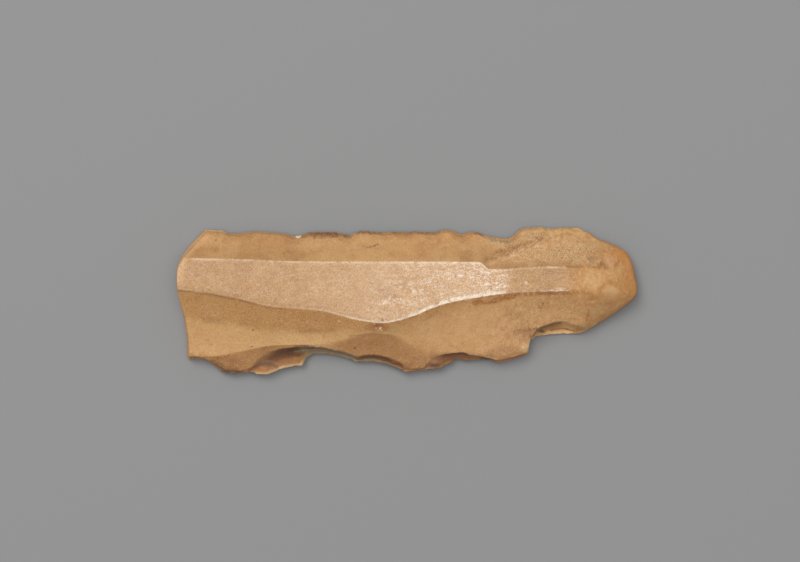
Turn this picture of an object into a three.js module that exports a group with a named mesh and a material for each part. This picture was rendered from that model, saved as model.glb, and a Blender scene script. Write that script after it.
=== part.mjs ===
// Flint sickle blade: a trapezoidal blade of tan-brown flint, snapped at its left end, with its butt and bulb at the
// right end, nibbled retouch along the upper edge and steep stepped scars along the lower edge. It is one solid, lying
// on its ventral (bulb) face with the two dorsal arrises up.
//
// Millimetres. +X runs along the blade to the butt, +Y towards the thin nibbled edge, +Z up from the ventral face.
// The origin is the centre of the bounding box in plan, on the plane that the blade lies on.
import * as THREE from 'three';
import { mergeVertices } from 'three/addons/utils/BufferGeometryUtils.js';

// ---------------------------------------------------------------- driving dimensions (mm)
const LEFT_ZONE = -30.0; // the snapped end is laid out to the left of this x
const BUTT_ZONE = 26.6; // the flat dorsal facet stops here and the butt rounds down to the right of it
const BUTT_CENTRE = [26.6, 3.2]; // plan centre of the rounded butt
const UPPER_INSET = 0.16; // from the outer envelope to the stone's own edge, thin edge
const LOWER_INSET = 0.03; // and retouched edge
const CREST_HEIGHT = 6.5; // dorsal facet above the rest plane at x = 0
const CREST_SLOPE = 0.012; // its rise towards the butt, per mm
const EDGE_LIP = 0.36; // thickness of the very edge, over the ventral face
const LOWER_BEVEL = [3.0, 0.26]; // most height gained over a steep lower scar, and the width that it is gained in
const UPPER_BEVEL = [1.9, 0.5]; // the same for the fine retouch of the upper edge
const UPPER_RETOUCH = [0.5, 1.35]; // width of the fine retouch, and how much further a scallop reaches in
const FACET_SLOPE = { underArris: 0.5, secondRow: 0.66 }; // steepness right under the lower arris, and of the second row
const BOW = 0.42; // hollow of the ventral face along the blade
const BOW_CENTRE = -4;
const BOW_HALF = 31;
const CAMBER = 0.34; // how far the ventral face lifts towards both edges
const REST_LIFT = 0.25; // the ventral face clears the rest plane by this between its two bearing spots
const BULB = { x: 29.0, y: 3.2, r: 4.2, depth: 0.62 }; // bulb of percussion; its crown is flaked off flat
const TOE = { from: -28, to: -36.5, depth: 0.52 }; // the ventral face dips to the rest plane at the snapped end
const BUTT_RISE = 1.25; // the ventral face lifts to the striking platform
const NU = { toe: 6, main: 76, butt: 9 }; // stations along the blade
const SPAN = [3, 2, 3, 3, 2, 4, 2]; // columns between the feature lines, lower edge to upper edge
const NW = 2; // rows up the edge wall

// ---------------------------------------------------------------- small helpers
const clamp = (v, a, b) => Math.min(b, Math.max(a, v));
const mix = (a, b, t) => a + (b - a) * t;
const smooth = (a, b, v) => {
  const t = clamp((v - a) / (b - a), 0, 1);
  return t * t * (3 - 2 * t);
};
// Monotone curve through a few stations [x, value].
function curve(K) {
  const n = K.length;
  const h = [];
  const d = [];
  for (let i = 0; i < n - 1; i++) {
    h.push(K[i + 1][0] - K[i][0]);
    d.push((K[i + 1][1] - K[i][1]) / h[i]);
  }
  const m = new Array(n).fill(0);
  m[0] = d[0];
  m[n - 1] = d[n - 2];
  for (let i = 1; i < n - 1; i++) {
    if (d[i - 1] * d[i] > 0) {
      const a = 2 * h[i] + h[i - 1];
      const b = h[i] + 2 * h[i - 1];
      m[i] = (a + b) / (a / d[i - 1] + b / d[i]);
    }
  }
  return (x) => {
    let i = 0;
    while (i < n - 2 && x > K[i + 1][0]) i++;
    const t = clamp((x - K[i][0]) / h[i], 0, 1);
    const s = 1 - t;
    return (1 + 2 * t) * s * s * K[i][1] + t * s * s * h[i] * m[i] + t * t * (3 - 2 * t) * K[i + 1][1] - t * t * s * h[i] * m[i + 1];
  };
}
// Scars seen in plan: each bites into an edge at x, over a width to its left and to its right, to a depth, with a
// squarer or rounder bow. Where two scars cross, the deeper one wins and leaves a cusp.
const bites = (S) => (x) => {
  let v = 0;
  for (const [x0, wl, wr, depth, bow] of S) {
    const t = Math.abs(x - x0) / (x < x0 ? wl : wr);
    if (t < 1) v = Math.max(v, depth * (1 - t ** bow));
  }
  return v;
};

// ---------------------------------------------------------------- plan: edges and feature lines, y as a function of x
// lower edge, before its scars
const lowerEnvelope = curve([[-35.8, -9.6], [-28.5, -11.95], [-23.4, -12.08], [0.2, -11.9], [4.8, -11.2], [15.2, -10.15], [20, -8.8], [27.8, -5.6]]);
const LOWER_SCARS = [
  [-32.55, 2.9, 2.5, 1.0, 1.7],
  [-26.0, 1.4, 1.7, 0.3, 2.4],
  [-16.7, 5.8, 2.3, 1.4, 2.0],
  [-14.8, 2.7, 9.7, 3.33, 2.3],
  [-6.9, 8.9, 6.95, 2.0, 2.2],
  [1.5, 3.5, 2.6, 0.3, 1.6],
  [8.1, 1.36, 2.9, 1.23, 1.6],
  [10.3, 4.7, 4.4, 0.86, 3.8],
  [20.6, 0.9, 0.9, 2.3, 3.2],
  [20.9, 0.8, 6.9, 2.45, 1.4],
  [26.4, 0.8, 1.0, 0.2, 2.0],
];
// inner limit of the steep scars along the lower edge
const steepEnvelope = curve([[-35.8, -9.3], [-28.5, -11.5], [-23.4, -11.6], [0.2, -11.4], [4.8, -10.7], [15.2, -9.66], [20, -8.4], [27.8, -5.4]]);
const STEEP_SCARS = [
  [-32.9, 2.1, 3.3, 0.75, 2.9],
  [-16.0, 9.5, 7.9, 4.03, 3.2],
  [-11.3, 7.1, 7.0, 3.4, 1.5],
  [-5.6, 7.6, 6.3, 2.55, 1.8],
  [7.9, 5.0, 3.1, 1.87, 3.8],
  [10.3, 3.3, 4.4, 1.34, 1.3],
  [21.7, 1.9, 6.2, 3.4, 3.3],
];
const upperEnvelope = curve([[-32.9, 11.7], [-31.7, 11.63], [-24.5, 11.38], [-12.5, 11.28], [-6.9, 11.44], [6.6, 11.59], [11.1, 11.33], [19, 11.97], [21.7, 12.1], [27.8, 11.99]]);
const UPPER_SCARS = [
  [-28.8, 1.1, 4.3, 0.46, 1.3],
  [-19.8, 4.7, 1.8, 0.25, 1.3],
  [-18.3, 1.9, 2.5, 0.65, 1.8],
  [-9.4, 2.1, 1.7, 0.54, 1.3],
  [-3.7, 2.7, 3.5, 0.23, 2.4],
  [-0.1, 2.3, 1.7, 0.3, 2.0],
  [4.3, 4.1, 1.4, 0.35, 2.0],
  [8.9, 1.6, 1.6, 0.51, 1.3],
  [16.6, 5.35, 2.1, 1.5, 1.3],
  [23.6, 1.5, 1.4, 0.17, 2.5],
];
const lowerBites = bites(LOWER_SCARS);
const steepBites = bites(STEEP_SCARS);
const upperBites = bites(UPPER_SCARS);
const upperArris = curve([[-37.6, 6.8], [-25.5, 6.52], [-17.4, 6.23], [11.6, 6.06], [13.4, 4.92], [22.6, 5.31], [26.6, 5.25], [31.5, 5.0], [37, 4.6]]);
const lowerArris = curve([[-37.6, 2.07], [-31.2, 1.24], [-26.8, 0.36], [-21.9, -0.83], [-13.8, -1.53], [-7.6, -3.1], [-4, -3.59], [0.9, -2.49], [5.4, -0.65], [11.6, 0.59], [17.7, 1.34], [26.6, 1.56], [37.5, 1.0]]);
// soft knee under the lower arris, where the big lower scar flattens out
const knee = curve([[-36, -2.7], [-27.2, -3.9], [-23.6, -4.7], [-17.4, -5.0], [-8.4, -4.7], [-3.5, -4.3], [3.8, -2.9], [8.7, -1.43], [15.2, -0.3], [27.8, 0.2]]);
// inner limit of the second row of lower scars, with the three-cornered one that peaks near x = -6
const secondRow = curve([[-36, -9.2], [-31.7, -9.15], [-26.3, -8.2], [-21.5, -7.3], [-12.5, -7.06], [-5.8, -5.43], [-1.1, -6.16], [0.7, -7.38], [3.8, -8.28], [10.3, -8.36], [15.2, -9.1], [18.8, -7.79], [21.1, -4.53], [25.3, -3.15], [27.8, -4.2]]);
// snapped end and butt: x as a function of y, and radius as a function of direction in degrees
const snapEnd = curve([[-9.6, -35.8], [-6.5, -35.9], [-3.2, -36.3], [-0.3, -37.0], [1.7, -37.46], [3.1, -37.6], [4.6, -37.56], [5.9, -37.26], [7.9, -36.2], [9.8, -34.7], [11.7, -32.8]]);
const buttEnd = curve([[-82, 8.8], [-57, 8.5], [-42, 8.85], [-28, 9.65], [-20, 10.35], [-10.6, 11.1], [-4, 11.0], [3, 10.7], [10, 10.55], [23, 10.5], [35.6, 9.65], [45, 8.98], [57, 8.4], [72, 8.6], [82.4, 8.9]]);
// where each feature line runs out on the butt, in degrees, and how high its rim is there
const BUTT_FAN = [-82, -70, -57, -42, -12, 9, 70, 82.4];
const BUTT_RIM = [0.9, 1.7, 2.1, 2.6, 3.7, 3.8, 1.8, 0.9];

// The eight feature lines at x, lower edge to upper edge, kept a little apart where they meet.
const LINE_GAP = 0.14;
function lines(x, inset) {
  const lo = lowerEnvelope(x) + lowerBites(x) + LOWER_INSET + inset;
  const hi = upperEnvelope(x) - upperBites(x) - UPPER_INSET - inset;
  const L = [lo, steepEnvelope(x) + steepBites(x), secondRow(x), knee(x), lowerArris(x), upperArris(x), 0, hi];
  L[1] = Math.max(L[1], lowerEnvelope(x) + lowerBites(x) + LOWER_INSET + 0.3);
  L[2] = Math.max(L[2], L[1] + LINE_GAP);
  L[3] = clamp(L[3], L[2] + LINE_GAP, L[4] - LINE_GAP);
  L[6] = Math.min(upperEnvelope(x) - UPPER_RETOUCH[0] - UPPER_RETOUCH[1] * upperBites(x), hi - 0.25);
  return L;
}
const LINE_OF = [];
SPAN.forEach((n, s) => {
  for (let k = 0; k < n; k++) LINE_OF.push([s, k / n]);
});
LINE_OF.push([SPAN.length - 1, 1]);
const NV = LINE_OF.length - 1;
const along = (A, j) => mix(A[LINE_OF[j][0]], A[LINE_OF[j][0] + 1], LINE_OF[j][1]);

// ---------------------------------------------------------------- heights
// Ventral face: bowed along, cambered across, with the bulb and the toe dipping to two flats on the rest plane.
function ventral(x, y) {
  const b = (x - BOW_CENTRE) / BOW_HALF;
  const bow = Math.abs(b) < 1 ? BOW * (1 - b * b) : 0;
  const r = Math.hypot(x - BULB.x, y - BULB.y) / BULB.r;
  const lift = BUTT_RISE * smooth(6.2, 11, Math.hypot(Math.max(0, x - BUTT_CENTRE[0]), (y - BUTT_CENTRE[1]) * 0.55));
  const z = REST_LIFT + bow + CAMBER * ((y - 1) / 11) ** 2 - BULB.depth * Math.exp((-r * r) / 2) - TOE.depth * smooth(TOE.from, TOE.to, x) + lift;
  return Math.max(0, z);
}
const crest = (x) => CREST_HEIGHT + CREST_SLOPE * x;
const bevel = ([h, w], width) => h * (1 - Math.exp(-width / w));

// Height of the stone along the second row's inner limit.
const secondRowHeight = curve([[-36, 2.5], [-29, 2.9], [-21.5, 3.5], [-12, 4.1], [-5.8, 5.25], [-1, 4.5], [4, 3.5], [10, 3.3], [15.2, 2.9], [18.8, 3.2], [21.1, 4.0], [25.3, 4.2], [27.8, 3.6]]);

// Heights of the dorsal face on the eight feature lines at x.
function lineHeights(x, L) {
  const z = [];
  z[0] = ventral(x, L[0]) + EDGE_LIP;
  z[7] = ventral(x, L[7]) + EDGE_LIP;
  z[4] = crest(x);
  z[5] = crest(x);
  z[3] = z[4] - FACET_SLOPE.underArris * (L[4] - L[3]);
  z[2] = Math.min(secondRowHeight(x), z[3] - 0.05);
  z[1] = Math.max(z[0] + 0.3, Math.min(z[2] - FACET_SLOPE.secondRow * (L[2] - L[1]), z[0] + bevel(LOWER_BEVEL, L[1] - L[0])));
  z[6] = z[7] + bevel(UPPER_BEVEL, L[7] - L[6]);
  return z;
}
// How the height runs between two neighbouring feature lines, t from the lower line to the upper one.
// 1 where a steep scar ends in a thin shelf at the edge: near x = -20 and in the notch; half of one near x = -5.
const shelf = (x) => smooth(-25, -22.5, x) * (1 - smooth(-18.5, -16, x)) + 0.5 * smooth(-8.5, -7, x) * (1 - smooth(-3.5, -2, x)) + smooth(22, 23, x) * (1 - smooth(26.6, 27.4, x));
function profile(s, t, x) {
  if (s === 0) return t ** mix(1.35, 3.2, shelf(x));
  if (s === 1) return mix(t, t * t, 0.25);
  if (s === 2) return mix(t, t * t, 0.45); // the big lower scar is hollow
  if (s === 3) return mix(t, t * t, 0.25);
  if (s === 5) return 1 - mix(t, 1 - (1 - t) * (1 - t), 0.35); // hollow upper facet, falling away from the arris
  if (s === 6) return 1 - t ** 1.25;
  return t;
}
function dorsalAt(x, j, L, z) {
  const [s, t] = LINE_OF[j];
  if (s === 5 || s === 6) return mix(z[s + 1], z[s], profile(s, t, x));
  return mix(z[s], z[s + 1], profile(s, t, x));
}
// The lobe: a flake struck from the butt end thins the upper facet and ends in a low oblique step.
const LOBE = { from: [12.2, 5.6], to: [23.4, 10.2], depth: 0.5, width: 0.8, fade: [24, 33] };
function lobe(x, y) {
  const [ax, ay] = LOBE.from;
  const [bx, by] = LOBE.to;
  const len = Math.hypot(bx - ax, by - ay);
  const side = ((x - ax) * (by - ay) - (y - ay) * (bx - ax)) / len; // > 0 on the butt's side of the step
  const runOut = smooth(0, 1.2, y - upperArris(x)) * (1 - smooth(LOBE.fade[0], LOBE.fade[1], x)) * smooth(ax - 1, ax + 2, x);
  return LOBE.depth * smooth(0, LOBE.width, side) * runOut;
}

// ---------------------------------------------------------------- the blank
// A grid of NU x NV x NW cells is bent into the stone: its top is the dorsal face, its bottom the ventral face and its
// sides the edges. Each level keeps its own inset, so the edge is widest partway up.
const NUT = NU.toe + NU.main + NU.butt;
const INSET = { snap: [0.06, 0, 0.55], edge: [0.14, 0, 0.06], butt: [0.5, 0, 0.4] }; // ventral rim, middle, dorsal rim
const RIM_AT = { snap: 0.3, edge: 0.5, butt: 0.6 }; // height of the widest row, from the ventral rim to the dorsal rim
function plan(i, j, level) {
  const edgeInset = INSET.edge[level];
  if (i <= NU.toe) {
    const s = i / NU.toe;
    let y = along(lines(-34, edgeInset), j);
    let x = 0;
    for (let k = 0; k < 3; k++) {
      const bevelled = level === 2 ? mix(0.55, 1.05, smooth(4, 9, y)) : INSET.snap[level];
      x = snapEnd(y) + mix(LOWER_INSET, UPPER_INSET, smooth(0, 5, y)) + bevelled;
      y = along(lines(x, edgeInset), j);
    }
    x = mix(x, LEFT_ZONE, s);
    return [x, along(lines(x, edgeInset), j)];
  }
  if (i <= NU.toe + NU.main) {
    const x = mix(LEFT_ZONE, BUTT_ZONE, (i - NU.toe) / NU.main);
    return [x, along(lines(x, edgeInset), j)];
  }
  const s = (i - NU.toe - NU.main) / NU.butt;
  const a = along(BUTT_FAN, j);
  const tip = smooth(-75, -45, a) * (1 - smooth(50, 78, a)); // the butt's own inset fades into the edges' inset
  const r = buttEnd(a) - mix(LOWER_INSET, UPPER_INSET, smooth(-30, 10, a)) - mix(edgeInset, INSET.butt[level], tip);
  const e = [BUTT_CENTRE[0] + r * Math.cos((a * Math.PI) / 180), BUTT_CENTRE[1] + r * Math.sin((a * Math.PI) / 180)];
  const y0 = along(lines(BUTT_ZONE, edgeInset), j);
  return [mix(BUTT_ZONE, e[0], s), mix(y0, e[1], s)];
}
function dorsal(i, j) {
  const [x, y] = plan(i, j, 2);
  const xm = Math.min(x, BUTT_ZONE);
  const L = lines(xm, INSET.edge[2]);
  let z = dorsalAt(xm, j, L, lineHeights(xm, L));
  if (i > NU.toe + NU.main) {
    const s = (i - NU.toe - NU.main) / NU.butt;
    z = mix(along(BUTT_RIM, j), z, 1 - s ** 2.1);
  }
  return [x, y, z - (j > 0 && j < NV ? lobe(x, y) : 0)];
}
function blank() {
  const g = new THREE.BoxGeometry(1, 1, 1, NUT, NV, NW);
  g.deleteAttribute('normal');
  g.deleteAttribute('uv');
  const m = mergeVertices(g, 1e-5);
  const p = m.attributes.position;
  for (let n = 0; n < p.count; n++) {
    const i = Math.round((p.getX(n) + 0.5) * NUT);
    const j = Math.round((p.getY(n) + 0.5) * NV);
    const k = Math.round((p.getZ(n) + 0.5) * NW);
    let q;
    if (k === NW) q = dorsal(i, j);
    else if (k === 0) {
      const [x, y] = plan(i, j, 0);
      q = [x, y, ventral(x, y)];
    } else {
      const [x, y] = plan(i, j, 1);
      const [vx, vy] = plan(i, j, 0);
      const kind = i === 0 ? 'snap' : i === NUT ? 'butt' : 'edge';
      q = [x, y, mix(ventral(vx, vy), dorsal(i, j)[2], RIM_AT[kind])];
    }
    p.setXYZ(n, q[0], q[1], q[2]);
  }
  return m;
}

// ---------------------------------------------------------------- result
const stone = blank();
stone.computeBoundingBox();
const box = stone.boundingBox;
stone.translate(-(box.min.x + box.max.x) / 2, -(box.min.y + box.max.y) / 2, 0);

const flint = new THREE.MeshStandardMaterial({ color: 0xc39a66, roughness: 0.52, metalness: 0.0 });
const blade = new THREE.Mesh(stone, flint);
blade.name = 'flint_blade';

const sickleBlade = new THREE.Group();
sickleBlade.add(blade);
export default sickleBlade;
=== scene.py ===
"""Flint sickle blade, lying on its ventral face on a plain floor, seen from straight above.

Lengths in the functions below are millimetres in the blade's own plan frame (see CENTRE); the mesh is in metres.
"""

import bpy
import math
import numpy as np
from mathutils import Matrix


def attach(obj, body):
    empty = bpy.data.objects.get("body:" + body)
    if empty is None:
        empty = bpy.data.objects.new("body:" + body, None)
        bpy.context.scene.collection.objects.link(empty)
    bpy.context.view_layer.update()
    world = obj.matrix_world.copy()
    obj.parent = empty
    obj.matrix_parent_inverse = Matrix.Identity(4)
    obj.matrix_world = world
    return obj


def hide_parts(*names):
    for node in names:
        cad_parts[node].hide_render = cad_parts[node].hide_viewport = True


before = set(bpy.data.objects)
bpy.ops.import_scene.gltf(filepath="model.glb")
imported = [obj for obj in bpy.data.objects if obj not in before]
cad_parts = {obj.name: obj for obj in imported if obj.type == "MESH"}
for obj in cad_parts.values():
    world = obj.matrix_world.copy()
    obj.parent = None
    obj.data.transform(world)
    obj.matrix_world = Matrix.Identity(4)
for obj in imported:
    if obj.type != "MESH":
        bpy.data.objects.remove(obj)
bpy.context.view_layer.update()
NODE = "flint_blade"

# ------------------------------------------------------------------ sizes, as in the CAD model
CENTRE = (-0.0313, -0.0565)  # plan frame's own centre of its box, which sits at the origin
LEFT_ZONE, BUTT_ZONE = -30.0, 26.6
BUTT_CENTRE = (26.6, 3.2)
UPPER_INSET, LOWER_INSET = 0.16, 0.03
CREST_HEIGHT, CREST_SLOPE = 6.5, 0.012
EDGE_LIP = 0.36
LOWER_BEVEL = (3.0, 0.26)
UPPER_BEVEL = (1.9, 0.5)
UPPER_RETOUCH = (0.5, 1.35)
UNDER_ARRIS, SECOND_ROW = 0.5, 0.66
BOW, BOW_CENTRE, BOW_HALF = 0.42, -4.0, 31.0
CAMBER, REST_LIFT = 0.34, 0.25
BULB = (29.0, 3.2, 4.2, 0.62)
TOE = (-28.0, -36.5, 0.52)
BUTT_RISE = 1.25

# fine grid: stations along, columns between the feature lines, rows up the walls. All even.
N_TOE, N_MAIN, N_BUTT = 44, 388, 68
SPAN = [12, 12, 26, 14, 26, 26, 8]
NUT = N_TOE + N_MAIN + N_BUTT
NV = sum(SPAN)
NW = 10


def mix(a, b, t):
    return a + (b - a) * t


def smooth(a, b, v):
    t = np.clip((v - a) / (b - a), 0.0, 1.0)
    return t * t * (3 - 2 * t)


def curve(stations):
    """Monotone curve through a few stations (x, value)."""
    k = np.array(stations, float)
    xk, yk = k[:, 0], k[:, 1]
    h = np.diff(xk)
    d = np.diff(yk) / h
    m = np.zeros(len(xk))
    m[0], m[-1] = d[0], d[-1]
    for i in range(1, len(xk) - 1):
        if d[i - 1] * d[i] > 0:
            a, b = 2 * h[i] + h[i - 1], h[i] + 2 * h[i - 1]
            m[i] = (a + b) / (a / d[i - 1] + b / d[i])

    def f(x):
        x = np.asarray(x, float)
        i = np.clip(np.searchsorted(xk, x) - 1, 0, len(h) - 1)
        t = np.clip((x - xk[i]) / h[i], 0, 1)
        s = 1 - t
        return (1 + 2 * t) * s * s * yk[i] + t * s * s * h[i] * m[i] + t * t * (3 - 2 * t) * yk[i + 1] - t * t * s * h[i] * m[i + 1]

    return f


def bites(scars):
    """Plan depth of a row of scars (x, width left, width right, depth, bow)."""

    def f(x):
        x = np.asarray(x, float)
        v = np.zeros_like(x)
        for x0, wl, wr, depth, bow in scars:
            t = np.abs(x - x0) / np.where(x < x0, wl, wr)
            v = np.maximum(v, depth * (1 - np.minimum(t, 1.0) ** bow))
        return v

    return f


lower_env = curve([(-35.8, -9.6), (-28.5, -11.95), (-23.4, -12.08), (0.2, -11.9), (4.8, -11.2), (15.2, -10.15), (20, -8.8), (27.8, -5.6)])
lower_bites = bites([
    (-32.55, 2.9, 2.5, 1.0, 1.7), (-26.0, 1.4, 1.7, 0.3, 2.4), (-16.7, 5.8, 2.3, 1.4, 2.0), (-14.8, 2.7, 9.7, 3.33, 2.3),
    (-6.9, 8.9, 6.95, 2.0, 2.2), (1.5, 3.5, 2.6, 0.3, 1.6), (8.1, 1.36, 2.9, 1.23, 1.6), (10.3, 4.7, 4.4, 0.86, 3.8),
    (20.6, 0.9, 0.9, 2.3, 3.2), (20.9, 0.8, 6.9, 2.45, 1.4), (26.4, 0.8, 1.0, 0.2, 2.0)])
steep_env = curve([(-35.8, -9.3), (-28.5, -11.5), (-23.4, -11.6), (0.2, -11.4), (4.8, -10.7), (15.2, -9.66), (20, -8.4), (27.8, -5.4)])
steep_bites = bites([
    (-32.9, 2.1, 3.3, 0.75, 2.9), (-16.0, 9.5, 7.9, 4.03, 3.2), (-11.3, 7.1, 7.0, 3.4, 1.5), (-5.6, 7.6, 6.3, 2.55, 1.8),
    (7.9, 5.0, 3.1, 1.87, 3.8), (10.3, 3.3, 4.4, 1.34, 1.3), (21.7, 1.9, 6.2, 3.4, 3.3)])
upper_env = curve([(-32.9, 11.7), (-31.7, 11.63), (-24.5, 11.38), (-12.5, 11.28), (-6.9, 11.44), (6.6, 11.59), (11.1, 11.33), (19, 11.97), (21.7, 12.1), (27.8, 11.99)])
upper_bites = bites([
    (-28.8, 1.1, 4.3, 0.46, 1.3), (-19.8, 4.7, 1.8, 0.25, 1.3), (-18.3, 1.9, 2.5, 0.65, 1.8), (-9.4, 2.1, 1.7, 0.54, 1.3),
    (-3.7, 2.7, 3.5, 0.23, 2.4), (-0.1, 2.3, 1.7, 0.3, 2.0), (4.3, 4.1, 1.4, 0.35, 2.0), (8.9, 1.6, 1.6, 0.51, 1.3),
    (16.6, 5.35, 2.1, 1.5, 1.3), (23.6, 1.5, 1.4, 0.17, 2.5)])
upper_arris = curve([(-37.6, 6.8), (-25.5, 6.52), (-17.4, 6.23), (11.6, 6.06), (13.4, 4.92), (22.6, 5.31), (26.6, 5.25), (31.5, 5.0), (37, 4.6)])
lower_arris = curve([(-37.6, 2.07), (-31.2, 1.24), (-26.8, 0.36), (-21.9, -0.83), (-13.8, -1.53), (-7.6, -3.1), (-4, -3.59), (0.9, -2.49), (5.4, -0.65), (11.6, 0.59), (17.7, 1.34), (26.6, 1.56), (37.5, 1.0)])
knee = curve([(-36, -2.7), (-27.2, -3.9), (-23.6, -4.7), (-17.4, -5.0), (-8.4, -4.7), (-3.5, -4.3), (3.8, -2.9), (8.7, -1.43), (15.2, -0.3), (27.8, 0.2)])
second_row = curve([(-36, -9.2), (-31.7, -9.15), (-26.3, -8.2), (-21.5, -7.3), (-12.5, -7.06), (-5.8, -5.43), (-1.1, -6.16), (0.7, -7.38), (3.8, -8.28), (10.3, -8.36), (15.2, -9.1), (18.8, -7.79), (21.1, -4.53), (25.3, -3.15), (27.8, -4.2)])
second_row_height = curve([(-36, 2.5), (-29, 2.9), (-21.5, 3.5), (-12, 4.1), (-5.8, 5.25), (-1, 4.5), (4, 3.5), (10, 3.3), (15.2, 2.9), (18.8, 3.2), (21.1, 4.0), (25.3, 4.2), (27.8, 3.6)])
snap_end = curve([(-9.6, -35.8), (-6.5, -35.9), (-3.2, -36.3), (-0.3, -37.0), (1.7, -37.46), (3.1, -37.6), (4.6, -37.56), (5.9, -37.26), (7.9, -36.2), (9.8, -34.7), (11.7, -32.8)])
butt_end = curve([(-82, 8.8), (-57, 8.5), (-42, 8.85), (-28, 9.65), (-20, 10.35), (-10.6, 11.1), (-4, 11.0), (3, 10.7), (10, 10.55), (23, 10.5), (35.6, 9.65), (45, 8.98), (57, 8.4), (72, 8.6), (82.4, 8.9)])
BUTT_FAN = (-82, -70, -57, -42, -12, 9, 70, 82.4)
BUTT_RIM = (0.9, 1.7, 2.1, 2.6, 3.7, 3.8, 1.8, 0.9)
LINE_GAP = 0.14

# small nibbles along both edges: they bite into the outline itself
rng = np.random.default_rng(11)


def nibbles(x0, x1, step, width, depth):
    out, x = [], x0
    while x < x1:
        w = width * rng.uniform(0.5, 1.5)
        out.append((x, w * rng.uniform(0.5, 0.9), w * rng.uniform(0.5, 0.9), depth * rng.uniform(0.15, 1.0), rng.uniform(1.4, 2.4)))
        x += w * rng.uniform(0.8, 1.5) + step * rng.uniform(0.0, 1.0)
    return out


UPPER_NIBBLES = nibbles(-32.0, 27.0, 0.5, 0.62, 0.13)
LOWER_NIBBLES = nibbles(-35.0, 27.0, 0.9, 0.55, 0.12)
upper_nibbles = bites(UPPER_NIBBLES)
lower_nibbles = bites(LOWER_NIBBLES)


# ------------------------------------------------------------------ seeded noise
def _hash(i, j, k, seed):
    h = (i * 374761393 + j * 668265263 + k * 2147483647 + seed * 1274126177) & 0xFFFFFFFF
    h = ((h ^ (h >> 13)) * 1274126177) & 0xFFFFFFFF
    h = ((h ^ (h >> 16)) * 2246822519) & 0xFFFFFFFF
    return ((h ^ (h >> 15)) & 0xFFFFFF) / float(0xFFFFFF)


def noise(x, y, z, seed=0):
    """Smooth value noise, -1 to 1."""
    x, y, z = np.broadcast_arrays(x, y, z)
    i, j, k = (np.floor(v).astype(np.int64) for v in (x, y, z))
    u, v, w = (t * t * t * (t * (t * 6 - 15) + 10) for t in (x - i, y - j, z - k))
    out = 0.0
    for a in (0, 1):
        for b in (0, 1):
            for c in (0, 1):
                wt = (u if a else 1 - u) * (v if b else 1 - v) * (w if c else 1 - w)
                out = out + wt * _hash(i + a, j + b, k + c, seed)
    return out * 2 - 1


def fbm(x, y, z, scale, octaves=4, seed=0, gain=0.5):
    out, amp, f, tot = 0.0, 1.0, 1.0 / scale, 0.0
    for o in range(octaves):
        out = out + amp * noise(x * f + 17.3 * o, y * f - 9.1 * o, z * f + 3.7 * o, seed + o)
        tot += amp
        amp *= gain
        f *= 2.03
    return out / tot


arris_low, arris_up = lower_arris, upper_arris


def lower_arris(x):
    rag = 0.06 * noise(x / 1.0, 0.5, 0.5, 91) + 0.06 * noise(x / 0.38, 0.5, 0.5, 92)
    return arris_low(x) + rag * smooth(-16, -6, x) * (1 - smooth(25, 28, x))


def upper_arris(x):
    return arris_up(x) + (0.03 * noise(x / 1.2, 0.5, 0.5, 93) + 0.025 * noise(x / 0.4, 0.5, 0.5, 94)) * (1 - smooth(25, 28, x))


# ------------------------------------------------------------------ plan layout
def lines(x, inset):
    """The eight feature lines at x, lower edge to upper edge: array (8,) + shape of x."""
    low = lower_env(x) + lower_bites(x)
    high = upper_env(x) - upper_bites(x)
    lo = low + lower_nibbles(x) + LOWER_INSET + inset
    hi = high - upper_nibbles(x) - UPPER_INSET - inset
    l1 = np.maximum(steep_env(x) + steep_bites(x) + 0.5 * lower_nibbles(x), low + LOWER_INSET + 0.3)
    l2 = np.maximum(second_row(x), l1 + LINE_GAP)
    l4 = lower_arris(x)
    l3 = np.minimum(np.maximum(knee(x), l2 + LINE_GAP), l4 - LINE_GAP)
    l5 = upper_arris(x)
    l6 = np.minimum(upper_env(x) - UPPER_RETOUCH[0] - UPPER_RETOUCH[1] * upper_bites(x) - 2.2 * upper_nibbles(x), hi - 0.25)
    return np.stack(np.broadcast_arrays(lo, l1, l2, l3, l4, l5, l6, hi))


COL_S = np.concatenate([np.full(n, s) for s, n in enumerate(SPAN)] + [[len(SPAN) - 1]]).astype(int)
COL_T = np.concatenate([np.arange(n) / n for n in SPAN] + [[1.0]])


def along(A, j):
    """Value of a per-line quantity A (8, ...) on column j."""
    s, t = COL_S[j], COL_T[j]
    A = np.asarray(A, float)
    if A.ndim == 1:
        return mix(A[s], A[s + 1], t)
    idx = np.arange(A.shape[1])
    return mix(A[s, idx], A[s + 1, idx], t)


def snap_inset(y):
    return mix(LOWER_INSET, UPPER_INSET, smooth(0.0, 5.0, y))


def inset_of(kind, w, y=None):
    """How far the wall stands in from the outline at height fraction w, 0 ventral rim to 1 dorsal rim."""
    if kind == "edge":
        return np.where(w < 0.5, 0.14 * (1 - w / 0.5) ** 1.5, 0.06 * ((w - 0.5) / 0.5) ** 1.5)
    if kind == "snap":
        top = mix(0.55, 1.05, smooth(4, 9, y))
        return np.where(w < 0.3, 0.06 * (1 - w / 0.3), top * (np.maximum(w - 0.3, 0) / 0.7) ** 1.15)
    return np.where(w < 0.6, 0.5 * (1 - w / 0.6) ** 1.8, 0.4 * (np.maximum(w - 0.6, 0) / 0.4) ** 1.8)


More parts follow.
